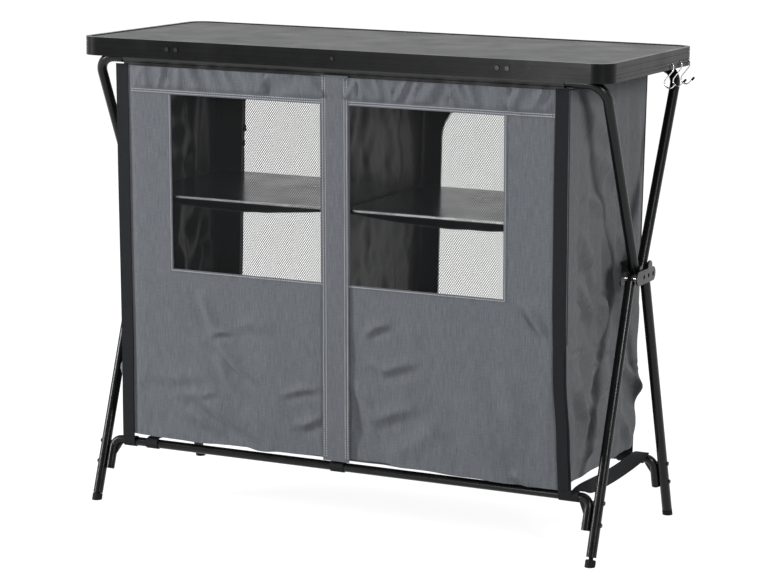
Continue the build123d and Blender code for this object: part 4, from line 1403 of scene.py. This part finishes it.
@dataclass
class BackWall(Part):
    """The back of the cabinet: a panel with two doorways, zips round them, and rolled doors."""

    cloth: float = 0.0011
    step: float = 0.006
    roll_radius: float = 0.0102
    roll_core: float = 0.0028
    roll_turns: float = 3.4
    roll_off: float = 0.0110
    tie_heights: tuple[float, float] = (0.30, 0.63)

    @property
    def roll_growth(self) -> float:
        """Return how much the roll's radius grows from its core to its last turn."""
        return self.roll_radius - 0.0034

    def place(self, u: float, v: float) -> Vector:
        """Return where a point of the back cloth is.

        Args:
            u: Distance across the cloth.
            v: Height.

        Returns:
            The point.
        """
        slack = 1 - smooth_step(v, 0.2, 0.6)
        lift = 0.0010 * ripple(u, v, 0.03, 0.3, 12.0) + 0.0016 * slack * ripple(u, v, 0.06, 0.08, 15.0)
        tuck = 0.0018 * smooth_step(abs(u), SIZES.strap_inner - 0.006, SIZES.strap_inner)
        free = 1 - smooth_step(abs(u), SIZES.strap_inner - 0.022, SIZES.strap_inner - 0.002)
        return Vector((u, SIZES.wall_y(v) + lift * free - tuck, v))

    def doorway(self, u: float, v: float) -> bool:
        """Say whether a point is in a doorway.

        Args:
            u: Distance across the cloth.
            v: Height.

        Returns:
            Whether it is open there.
        """
        across = abs(u)
        if not (SIZES.door_inner < across < SIZES.door_outer and SIZES.door_low < v < SIZES.door_high):
            return False
        corner = (SIZES.door_inner + SIZES.door_corner, SIZES.door_high - SIZES.door_corner)
        if across < corner[0] and v > corner[1]:
            return math.dist((across, v), corner) < SIZES.door_corner
        return True

    def panel(self) -> None:
        """Build the panel; its grid is drawn in to the round corners so that their edge is smooth."""
        fixed = [s * e for s in (-1, 1) for e in (SIZES.door_inner, SIZES.door_outer)]
        half = SIZES.half_width - 0.0015
        us = lines_between(-half, half, self.step, fixed)
        vs = lines_between(SIZES.low_z, SIZES.high_z, self.step, (SIZES.door_low, SIZES.door_high))
        corner_v = SIZES.door_high - SIZES.door_corner

        def snapped(u: float, v: float) -> Vector:
            """Return a point, drawn in to the round corner where it is near."""
            side = 1 if u > 0 else -1
            centre = (side * (SIZES.door_inner + SIZES.door_corner), corner_v)
            near = abs(u) < abs(centre[0]) and v > corner_v
            distance = math.dist((u, v), centre)
            if near and abs(distance - SIZES.door_corner) < self.step * 0.75:
                share = SIZES.door_corner / distance
                u, v = centre[0] + (u - centre[0]) * share, centre[1] + (v - centre[1]) * share
            return self.place(u, v)

        piece = cloth_grid(
            "back_cloth", us, vs, snapped, [Material.CLOTH, Material.LINING], flip=True, skip=self.doorway
        )
        thicken(piece, self.cloth)
        self.soft(piece, "cloth_grey", ["back_panel"])

    def outline(self, side: int) -> list[tuple[float, float]]:
        """Return the zip's line round three sides of a doorway, from its lower outer corner.

        Args:
            side: The side, as -1 or 1.

        Returns:
            The line's points, across and up.
        """
        low, high, radius = SIZES.door_low, SIZES.door_high, SIZES.door_corner
        inner, outer = SIZES.door_inner, SIZES.door_outer
        points = [(outer, low), (inner, low)]
        arc = arc_points((inner + radius, high - radius), radius, 180, -90, 14)
        points += arc
        points.append((outer, high))
        return [(side * u, v) for u, v in points]

    def zip_tape(self, side_name: str) -> None:
        """Build the zip's coil round a doorway as a row of small loops.

        Args:
            side_name: Which side it is on, left or right.
        """
        points = self.outline(SIDE_NAMES[side_name])
        coil = Stitching(pitch=0.0036, length=0.0030, width=0.0042, height=0.0016, finish=Material.COIL)
        rows = list(zip(points, points[1:]))
        piece = coil.rows(f"zip_coil_{side_name}", self.place, rows, BACKWARD)
        self.soft(piece, "cloth_black")

    def rolled_door(self, side_name: str) -> None:
        """Build a door as a loose roll, a spiral of cloth whose outer turn is lifted at its edge.

        Args:
            side_name: Which side it is on, left or right.
        """
        side = SIDE_NAMES[side_name]
        columns = 88
        vs = lines_between(SIZES.door_low, SIZES.door_high, 0.012)
        centre_x = side * (SIZES.door_outer + 0.0105)

        def rolled(u: float, v: float) -> Vector:
            """Return a point of the rolled cloth."""
            angle = u * self.roll_turns * 2 * math.pi
            lower, upper = (0.10 * math.exp(-(((v - tie) / 0.012) ** 2)) for tie in self.tie_heights)
            squeeze = 1 - upper - lower
            radius = (self.roll_core + self.roll_growth * u) * squeeze
            radius += 0.0005 * ripple(math.cos(angle), v, 0.6, 0.05, 21.0) * u
            x = centre_x + side * radius * math.cos(angle)
            y = SIZES.wall_y(v) + self.roll_off + radius * math.sin(angle)
            return Vector((x, y, v))

        us = [i / columns for i in range(columns + 1)]
        piece = cloth_grid(
            f"rolled_door_{side_name}", us, vs, rolled, [Material.CLOTH, Material.LINING], flip=side < 0
        )
        thicken(piece, 0.0009)
        self.soft(piece, "cloth_grey", [f"door_roll_{side_name}"])
        for index, height in enumerate(self.tie_heights):
            centre = (SIZES.wall_y(height) + self.roll_off, height)
            self.tie(f"door_tie_{side_name}_{index + 1}", centre_x, centre)

    def tie(self, name: str, centre_x: float, centre: tuple[float, float]) -> None:
        """Build a narrow tie round a rolled door.

        Args:
            name: The piece's name.
            centre_x: The roll's middle along X.
            centre: The tie's middle in Y and Z.
        """
        count = 28
        us = [i / count for i in range(count + 1)]
        vs = [-0.005, -0.0025, 0.0, 0.0025, 0.005]
        radius = self.roll_radius - 0.0001

        def round_roll(u: float, v: float) -> Vector:
            """Return a point of the tie, round the roll."""
            angle = u * 2 * math.pi * 0.999
            across = centre_x + radius * math.cos(angle)
            return Vector((across, centre[0] + radius * math.sin(angle), centre[1] + v))

        piece = cloth_grid(name, us, vs, round_roll, [Material.WEBBING])
        thicken(piece, 0.0007)
        self.soft(piece, "webbing_black")

    def build(self) -> None:
        """Build the whole back."""
        self.panel()
        for side_name in SIDE_NAMES:
            self.zip_tape(side_name)
            self.rolled_door(side_name)


@dataclass
class ZipPulls(Part):
    """The slider, the brown cord and its black end at the top of each rolled door."""

    top: float = 0.723
    cord_radius: float = 0.0014
    cord_points = ((0.0, 0.0), (0.0006, -0.012), (-0.0004, -0.026), (0.0003, -0.040), (0.0, -0.046))
    end_size: tuple[float, float, float] = (0.0085, 0.0032, 0.0135)

    def slider(self, name: str, x: float, y: float) -> bpy.types.Object:
        """Model one slider from a block whose front is inset and raised.

        Args:
            name: The piece's name.
            x: Its place along X.
            y: Distance from the middle plane.

        Returns:
            The slider.
        """
        piece = add_block(name, (x, y, self.top - 0.0055), (0.005, 0.003, 0.011))
        pick_faces(piece, lambda face: face.normal.y > 0.9)
        bpy.ops.mesh.inset(thickness=0.0011, depth=0.0006)
        bpy.ops.mesh.select_all(action="SELECT")
        bpy.ops.mesh.bevel(offset=0.0005, segments=2, affect="EDGES")
        bpy.ops.object.mode_set(mode="OBJECT")
        piece.data.materials.append(Shop.get(Material.COIL))
        return piece

    def cord(self, name: str, x: float, y: float) -> bpy.types.Object:
        """Model the pull's cord as a curve with a round section, turned into a mesh.

        Args:
            name: The piece's name.
            x: Its place along X.
            y: Distance from the middle plane.

        Returns:
            The cord.
        """
        curve = bpy.data.curves.new(name, "CURVE")
        curve.dimensions = "3D"
        curve.bevel_depth = self.cord_radius
        curve.bevel_resolution = 3
        curve.use_fill_caps = True
        line = curve.splines.new("NURBS")
        line.points.add(len(self.cord_points) - 1)
        for point, (across, down) in zip(line.points, self.cord_points):
            point.co = (x + across, y, self.top - 0.009 + down, 1.0)
        line.order_u = 3
        line.use_endpoint_u = True
        piece = bpy.data.objects.new(name, curve)
        bpy.context.scene.collection.objects.link(piece)
        keep_only(piece)
        bpy.ops.object.convert(target="MESH")
        piece = bpy.context.object
        piece.data.materials.append(Shop.get(Material.CORD))
        return piece

    def end(self, name: str, x: float, y: float) -> bpy.types.Object:
        """Model the moulded end of a pull: a waisted block with round edges.

        Args:
            name: The piece's name.
            x: Its place along X.
            y: Distance from the middle plane.

        Returns:
            The end.
        """
        drop = self.cord_points[-1][1] - 0.009
        piece = add_block(name, (x, y, self.top + drop - self.end_size[2] / 2), self.end_size)
        pick_faces(piece, lambda face: face.normal.z > 0.9)
        bpy.ops.transform.resize(value=(0.5, 0.9, 1.0))
        bpy.ops.mesh.select_all(action="SELECT")
        bpy.ops.mesh.bevel(offset=0.0010, segments=3, affect="EDGES")
        bpy.ops.object.mode_set(mode="OBJECT")
        piece.data.materials.append(Shop.get(Material.COIL))
        return piece

    def build(self) -> None:
        """Build both pulls; each hangs from the zip's outer upper end."""
        for side_name, side in SIDE_NAMES.items():
            x = side * (SIZES.door_outer - 0.0028)
            y = SIZES.wall_y(self.top) + 0.0019
            slider = self.slider(f"zip_slider_{side_name}", x, y)
            self.soft(slider, "zip_orange", ["zip_pulls"] if side < 0 else [])
            self.soft(self.cord(f"zip_cord_{side_name}", x, y + 0.0012), "zip_orange")
            self.soft(self.end(f"zip_cord_end_{side_name}", x, y + 0.0012), "zip_orange")


@dataclass
class Inside(Part):
    """The cloth inside the cabinet: divider, floor and the slings under the shelf boards."""

    step: float = 0.006
    divider_flat: tuple[float, float] = (0.338, 0.681)

    def divider(self) -> None:
        """Build the wall between the two halves."""
        count = round(0.33 / self.step)
        us = [-1 + 2 * i / count for i in range(count + 1)]
        vs = lines_between(SIZES.low_z, SIZES.high_z - 0.001, self.step)

        def hung(u: float, v: float) -> Vector:
            """Return a point of the hanging cloth."""
            y = u * (SIZES.wall_y(v) - 0.0105)
            free = 1 - abs(u) ** 4
            lift = 0.0062 * free * ripple(y + 0.35 * v, v, 0.05, 0.16, 31.0)
            lift += 0.0036 * free * (1 - 2 * abs(ripple(y - 0.4 * v, v, 0.045, 0.09, 33.0)))
            lift += 0.0022 * free * (1 - 2 * abs(ripple(y + 0.7 * v, v, 0.030, 0.05, 36.0)))
            near_shelf = math.exp(-(((v - SIZES.shelf_z) / 0.03) ** 2))
            return Vector((0.0006 + lift * (1 - 0.7 * near_shelf), y, v))

        piece = cloth_grid("divider_cloth", us, vs, hung, [Material.LINING])
        map_flat(piece, lambda point: (point.y, point.z))
        thicken(piece, 0.0010)
        self.soft(piece, "cloth_black", ["divider"])

    def floor(self) -> None:
        """Build the floor, which sags a little between the cross tubes."""
        half_x, half_y = SIZES.half_width - 0.002, 0.1675
        us = lines_between(-half_x, half_x, 0.01)
        vs = lines_between(-half_y, half_y, 0.01)

        def laid(u: float, v: float) -> Vector:
            """Return a point of the floor."""
            free = (1 - abs(u / half_x) ** 6) * (1 - abs(v / half_y) ** 4)
            sag = 0.0025 * free * (0.6 + 0.4 * ripple(u, v, 0.11, 0.08, 41.0))
            return Vector((u, v, 0.1281 - sag))

        piece = cloth_grid("floor_cloth", us, vs, laid, [Material.LINING])
        thicken(piece, 0.0011)
        self.soft(piece, "cloth_black", ["cabinet_floor"])

    def sling(self, side_name: str) -> None:
        """Build the cloth under one board: it holds the board's ends and sags between them.

        Args:
            side_name: Which side it is on, left or right.
        """
        side = SIDE_NAMES[side_name]
        low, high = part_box(f"sling_{side_name}")
        inner, outer = (high.x, low.x) if side < 0 else (low.x, high.x)
        us = [i / 60 for i in range(61)]
        vs = lines_between(low.y, high.y, self.step)
        top = high.z
        sag = high.z - low.z - 0.0012

        def hung(u: float, v: float) -> Vector:
            """Return a point of the hanging cloth."""
            x = inner + (outer - inner) * u
            drop = sag * (1 - (2 * u - 1) ** 2)
            free = 4 * u * (1 - u)
            edge = smooth_step(abs(v), 0.11, 0.175)
            pleat = 0.0012 * free * edge * ripple(u, v, 0.09, 0.3, 51.0 + side)
            return Vector((x, v, top - drop - max(0.0, 0.0014 * free * edge + pleat)))

        piece = cloth_grid(f"shelf_sling_{side_name}", us, vs, hung, [Material.LINING], flip=side < 0)
        map_flat(piece, lambda point: (point.x, point.y))
        thicken(piece, 0.0011)
        self.soft(piece, "cloth_black", [f"sling_{side_name}"], keep=0.1, anchor_y=0.03, shift=0.0)

    def build(self) -> None:
        """Build everything inside."""
        self.divider()
        self.floor()
        for side_name in SIDE_NAMES:
            self.sling(side_name)


@dataclass
class Straps(Part):
    """The black webbing: corner straps, spreader straps and the middle loops."""

    webbing: float = 0.0015
    loop_radius: float = 0.0098
    spread_x = {"left": (-0.402, -0.378), "right": (0.4403, 0.4643)}
    middle_x: tuple[float, float] = (-0.022, 0.004)
    # How a corner strap's middle strays sideways on its way down, at heights from low to high.
    front_right_line = (
        (0.118, 0.0125),
        (0.20, 0.0090),
        (0.32, 0.0012),
        (0.45, -0.0012),
        (0.60, -0.0012),
        (0.80, 0.0),
    )
    front_left_line = ((0.118, -0.0070), (0.30, -0.0050), (0.60, -0.0055), (0.80, -0.0055))
    # The webbing's free end is sewn on top of itself, from the loop up to this height.
    doubled_to = {"left": 0.374, "right": 0.364}
    aside: float = 0.0035
    # How far each spreader strap sags between the tubes, and how far the slack one turns over.
    sags = {"left": 0.003, "right": 0.0075}
    twist_angle: float = 1.05

    def loop_path(self, end: int, start: float, turn: float) -> list[tuple[float, float]]:
        """Return points round a cross tube at the webbing's outer face."""
        return arc_points((end * SIZES.cross_y, SIZES.cross_z), self.loop_radius, start, turn, 26)

    def stray(self, end_name: str, side_name: str, z: float) -> float:
        """Return how far along X a corner strap has strayed at a height.

        Args:
            end_name: Which wall it is on, front or back.
            side_name: Which side it is on, left or right.
            z: Height.

        Returns:
            The distance along X.
        """
        if end_name == "back":
            return 0.0
        return along_points(z, self.front_right_line if side_name == "right" else self.front_left_line)

    def lean(self, piece: bpy.types.Object, end_name: str, side_name: str) -> None:
        """Move a strap's points sideways by as much as it strays at their height."""
        for vertex in piece.data.vertices:
            vertex.co.x += self.stray(end_name, side_name, max(vertex.co.z, SIZES.cross_z))

    def corner(self, end_name: str, side_name: str) -> None:
        """Build a corner strap: down the wall, round the cross tube and back up to itself.

        Args:
            end_name: Which wall it is on, front or back.
            side_name: Which side it is on, left or right.
        """
        end, side = END_NAMES[end_name], SIDE_NAMES[side_name]
        xs = sorted((side * SIZES.half_width, side * SIZES.strap_inner))
        heights = lines_between(0.1175, SIZES.high_z + 0.002, 0.012)[::-1]
        wall = [(end * (SIZES.wall_y(z) + 0.0001), z) for z in heights]
        path = wall + self.loop_path(end, 0 if end > 0 else 180, -300 * end)
        total = sum(math.dist(one, two) for one, two in zip(path, path[1:]))

        def wave(x: float, along: float) -> float:
            """Return how far the webbing stands off the wall."""
            run = along if end > 0 else total - along
            loose = smooth_step(run, 0.02, 0.12) * (1 - smooth_step(run, 0.60, 0.68))
            return 0.0011 * loose * (0.5 + 0.5 * ripple(x, run, 0.06, 0.15, 60.0 + end + 3 * side))

        if end < 0:
            path = path[::-1]
        name = f"corner_webbing_{end_name}_{side_name}"
        piece = strip_along(name, path, xs[0], xs[1], Material.WEBBING, self.webbing, 8, wave)
        self.lean(piece, end_name, side_name)
        self.soft(piece, "webbing_black", [f"corner_strap_{end_name}_{side_name}"])

    def doubled_end(self, side_name: str) -> None:
        """Build the webbing's end that comes back up a front corner strap and is sewn on it.

        Args:
            side_name: Which side it is on, left or right.
        """
        side = SIDE_NAMES[side_name]
        inner, outer = sorted((side * SIZES.half_width, side * SIZES.strap_inner))
        heights = lines_between(0.122, self.doubled_to[side_name], 0.012)
        path = [(-SIZES.wall_y(z) - 0.0019 + 0.0006 * smooth_step(z, 0.2, 0.3), z) for z in heights]
        xs = (inner + self.aside, outer) if side < 0 else (inner, outer - self.aside)
        name = f"corner_webbing_end_{side_name}"
        piece = strip_along(name, path, xs[0], xs[1], Material.WEBBING, self.webbing * 0.7)
        self.lean(piece, "front", side_name)
        self.soft(piece, "webbing_black")

    def spreader(self, side_name: str) -> None:
        """Build one spreader strap between the cross tubes; the right one hangs slack and twists.

        Args:
            side_name: Which side it is on, left or right.
        """
        low, high = self.spread_x[side_name]
        count = 32
        points = []
        for index in range(count + 1):
            share = -1 + 2 * index / count
            drop = self.sags[side_name] * (1 - share * share)
            points.append((-share * SIZES.cross_y, SIZES.cross_z + self.loop_radius - drop))
        name = f"spreader_webbing_{side_name}"
        piece = strip_along(name, points, low, high, Material.WEBBING, self.webbing)
        if side_name == "right":
            self.twist(piece, (low + high) / 2)
        self.soft(piece, "webbing_black", ["spread_straps"] if side_name == "left" else [], shift=0.0)
        loop_high = high if side_name == "left" else low + 0.0135
        for end_name, end in END_NAMES.items():
            path = self.loop_path(end, 90, 300)[::-1]
            name = f"spreader_loop_{end_name}_{side_name}"
            loop = strip_along(name, path, low, loop_high, Material.WEBBING, self.webbing)
            self.soft(loop, "webbing_black", shift=0.0)

    def twist(self, piece: bpy.types.Object, middle_x: float) -> None:
        """Turn a slack strap about its own middle line, most where it hangs lowest.

        Args:
            piece: The object.
            middle_x: The strap's middle line along X.
        """
        for vertex in piece.data.vertices:
            share = vertex.co.y / SIZES.cross_y
            angle = self.twist_angle * (1 - share**4)
            off = vertex.co.x - middle_x
            vertex.co.x = middle_x + off * math.cos(angle)
            vertex.co.z -= off * math.sin(angle)

    def middle_loop(self, end_name: str) -> None:
        """Build the short loop that ties the floor down to a cross tube.

        Args:
            end_name: Which wall it is on, front or back.
        """
        end = END_NAMES[end_name]
        low, high = self.middle_x
        path = self.loop_path(end, 80, -340)
        piece = strip_along(f"middle_loop_{end_name}", path, low, high, Material.WEBBING, self.webbing)
        self.soft(piece, "webbing_black", ["centre_loops"] if end < 0 else [], shift=0.0)
        y = end * SIZES.cross_y
        tab_path = [(y - 0.0012, 0.1265), (y - 0.0010, 0.1235), (y - 0.0008, 0.1195)]
        tab = strip_along(f"middle_tab_{end_name}", tab_path, low, high, Material.WEBBING, self.webbing)
        self.soft(tab, "webbing_black", shift=0.0)

    def build(self) -> None:
        """Build all the webbing."""
        for end_name in END_NAMES:
            for side_name in SIDE_NAMES:
                self.corner(end_name, side_name)
            self.middle_loop(end_name)
        for side_name in SIDE_NAMES:
            self.doubled_end(side_name)
            self.spreader(side_name)


@dataclass
class Hems(Part):
    """The black sleeves that the walls hang from, sewn round the top tubes."""

    radius: float = 0.0101
    half_length: float = 0.4255
    tail: float = 0.013
    flat_width: float = 0.076

    def build(self) -> None:
        """Build both sleeves; each moves with its own top tube."""
        for end_name, end in END_NAMES.items():
            centre = (end * SIZES.hem_y, SIZES.hem_z)
            ring = arc_points(centre, self.radius, 0 if end > 0 else 180, 325 * end, 30)
            tail_top = (end * (SIZES.wall_high_y - 0.0016), SIZES.hem_z - 0.004)
            tail = []
            for index in range(3):
                z = SIZES.hem_z - 0.004 - self.tail * (3 - index) / 3
                tail.append((end * (SIZES.wall_y(z) - 0.0030), z))
            tail.append(tail_top)
            path = tail + ring
            if end < 0:
                path = path[::-1]

            def gather(x: float, along: float, end: int = end) -> float:
                return -0.0003 * (0.5 + 0.5 * ripple(x, along, 0.012, 0.03, 70.0 + end))

            low, high = SIZES.shift - self.half_length, SIZES.shift + self.half_length
            name = f"hem_sleeve_{end_name}"
            piece = strip_along(name, path, low, high, Material.LINING, 0.0007, 110, gather)
            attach(piece, f"upper_{end_name}")
            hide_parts(f"top_hem_{end_name}")
            LOG.info("built %s", piece.name)


@dataclass
class HardParts(Part):
    """The rigid parts, whose shapes come from the model: they get their finishes here."""

    nodes: dict[str, bpy.types.Object]

    def finish_of(self, name: str) -> Material:
        """Return the finish of a rigid node.

        Args:
            name: The node's name.

        Returns:
            Its finish.
        """
        starts = (
            ("edge_profile", Material.APRON),
            ("worktop_board", Material.TOP),
            ("brace", Material.BRACE),
            ("apron_fasteners", Material.SCREW),
            ("leg_bolts", Material.SCREW),
            ("lower_pins", Material.PLATED),
            ("upper_pins", Material.SCREW),
            ("knuckle_washers", Material.SPACER),
            ("outer_plate", Material.PLATE),
            ("inner_plate", Material.PLATE),
            ("upper_frame", Material.TUBE),
            ("leg_", Material.TUBE),
            ("cross_tube", Material.TUBE),
            ("foot", Material.RUBBER),
            ("hook_tip", Material.RUBBER),
            ("hook", Material.PLATED),
            ("shelf_board", Material.SHELF),
            ("shelf_trim", Material.TRIM),
        )
        return next(finish for start, finish in starts if name.startswith(start))

    def build(self) -> None:
        """Give each shown node its finish."""
        for name, node in self.nodes.items():
            if node.hide_render:
                continue
            node.data.materials.clear()
            node.data.materials.append(Shop.get(self.finish_of(name)))
            LOG.info("finished %s", name)


# The studio


@dataclass
class Studio:
    """A pale floor, a plain bright room and the camera where the photograph was taken."""

    camera_place: tuple[float, float, float] = (2.0773, -4.3812, 1.2733)
    yaw: float = -0.4401
    pitch: float = 0.1778
    roll: float = 0.0118
    lens_mm: float = 124.84
    floor_glow: float = 0.90
    floor_colour: str = "#8c8c8c"
    # The world's strength in front of the object and behind it.
    dim: float = 0.16
    bright: float = 0.9

    def camera(self) -> None:
        """Place the camera."""
        yaw, pitch = self.yaw, self.pitch
        forward = Vector((math.sin(yaw) * math.cos(pitch), math.cos(yaw) * math.cos(pitch), -math.sin(pitch)))
        right = Vector((math.cos(yaw), -math.sin(yaw), 0))
        up = right.cross(forward)
        right, up = (
            math.cos(self.roll) * right + math.sin(self.roll) * up,
            -math.sin(self.roll) * right + math.cos(self.roll) * up,
        )
        data = bpy.data.cameras.new("Camera")
        data.sensor_width = 36.0
        data.lens = self.lens_mm
        data.clip_start, data.clip_end = 0.1, 100.0
        camera = bpy.data.objects.new("Camera", data)
        turn = Matrix((right, up, -forward)).transposed().to_4x4()
        camera.matrix_world = Matrix.Translation(self.camera_place) @ turn
        bpy.context.scene.collection.objects.link(camera)
        bpy.context.scene.camera = camera

    def floor(self) -> None:
        """Lay a wide pale floor, which shows white where no shadow falls."""
        bpy.ops.object.select_all(action="DESELECT")
        bpy.ops.mesh.primitive_plane_add(size=120.0, location=(0, 0, 0))
        floor = bpy.context.object
        floor.name = "studio_floor"
        material = bpy.data.materials.new("studio_floor_paint")
        material.use_nodes = True
        tree = material.node_tree
        tree.nodes.clear()
        ray = add_node(tree, "ShaderNodeLightPath")
        seen = add_node(
            tree,
            "ShaderNodeMath",
            settings={"operation": "MAXIMUM"},
            links={0: ray.outputs["Is Camera Ray"], 1: ray.outputs["Is Glossy Ray"]},
        )
        glow = add_node(
            tree,
            "ShaderNodeMath",
            settings={"operation": "MULTIPLY"},
            sockets={1: self.floor_glow},
            links={0: seen.outputs[0]},
        )
        paint = add_node(tree, "ShaderNodeBsdfDiffuse", sockets={"Color": linear(self.floor_colour)})
        light = add_node(
            tree,
            "ShaderNodeEmission",
            sockets={"Color": (1.0, 1.0, 1.0, 1.0)},
            links={"Strength": glow.outputs["Value"]},
        )
        both = add_node(
            tree, "ShaderNodeAddShader", links={0: paint.outputs["BSDF"], 1: light.outputs["Emission"]}
        )
        add_node(tree, "ShaderNodeOutputMaterial", links={"Surface": both.outputs["Shader"]})
        floor.data.materials.append(material)

    def room(self) -> None:
        """Light the world: white where a camera looks, bright behind the object, dim before it."""
        world = bpy.data.worlds.new("studio")
        bpy.context.scene.world = world
        world.use_nodes = True
        tree = world.node_tree
        tree.nodes.clear()
        place = add_node(tree, "ShaderNodeTexCoord")
        parts = add_node(tree, "ShaderNodeSeparateXYZ", links={"Vector": place.outputs["Generated"]})
        behind = add_node(
            tree,
            "ShaderNodeMapRange",
            settings={"interpolation_type": "SMOOTHSTEP"},
            sockets={"From Min": -0.6, "From Max": 0.7, "To Min": self.dim, "To Max": self.bright},
            links={"Value": parts.outputs["Y"]},
        )
        ray = add_node(tree, "ShaderNodeLightPath")
        clear = add_node(
            tree,
            "ShaderNodeMath",
            settings={"operation": "MAXIMUM"},
            links={0: ray.outputs["Is Camera Ray"], 1: ray.outputs["Is Transmission Ray"]},
        )
        level = add_node(
            tree,
            "ShaderNodeMix",
            settings={"data_type": "FLOAT"},
            sockets={3: 1.0},
            links={0: clear.outputs["Value"], 2: behind.outputs["Result"]},
        )
        back = add_node(
            tree,
            "ShaderNodeBackground",
            sockets={"Color": (1.0, 1.0, 1.0, 1.0)},
            links={"Strength": level.outputs[0]},
        )
        add_node(tree, "ShaderNodeOutputWorld", links={"Surface": back.outputs["Background"]})

    def lamp(
        self,
        name: str,
        place: tuple[float, float, float],
        aim: tuple[float, float, float],
        size: tuple[float, float],
        watts: float,
    ) -> None:
        """Hang one soft rectangular lamp.

        Args:
            name: The lamp's name.
            place: Where it hangs.
            aim: The point that it faces.
            size: Its width and height.
            watts: Its power.
        """
        data = bpy.data.lights.new(name, "AREA")
        data.shape = "RECTANGLE"
        data.size, data.size_y = size
        data.energy = watts
        lamp = bpy.data.objects.new(name, data)
        direction = Vector(aim) - Vector(place)
        turn = direction.to_track_quat("-Z", "Y").to_matrix().to_4x4()
        lamp.matrix_world = Matrix.Translation(place) @ turn
        bpy.context.scene.collection.objects.link(lamp)

    def build(self) -> None:
        """Set up the whole studio."""
        bpy.context.scene.view_settings.view_transform = "Standard"
        self.camera()
        self.floor()
        self.room()
        self.lamp("key", (-3.5, -2.1, 1.75), (0.0, 0.0, 0.4), (0.7, 1.7), 165.0)
        self.lamp("side", (3.4, -2.4, 2.1), (0.3, 0.0, 0.4), (0.6, 1.4), 92.0)
        self.lamp("front", (-0.6, -3.6, 0.6), (0.4, -0.2, 0.8), (0.7, 0.7), 24.0)
        self.lamp("above", (0.3, 0.6, 3.4), (0.0, 0.0, 0.8), (2.4, 1.6), 16.0)


def main() -> None:
    """Build the cupboard and its studio in order."""
    logging.basicConfig(level=logging.INFO, format="%(message)s")
    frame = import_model()
    Studio().build()
    FrontWall().build()
    SideWall("left", 11.0).build()
    SideWall("right", 27.0).build()
    BackWall().build()
    ZipPulls().build()
    Inside().build()
    Straps().build()
    Hems().build()
    HardParts(frame["nodes"]).build()


if __name__ == "__main__":
    main()
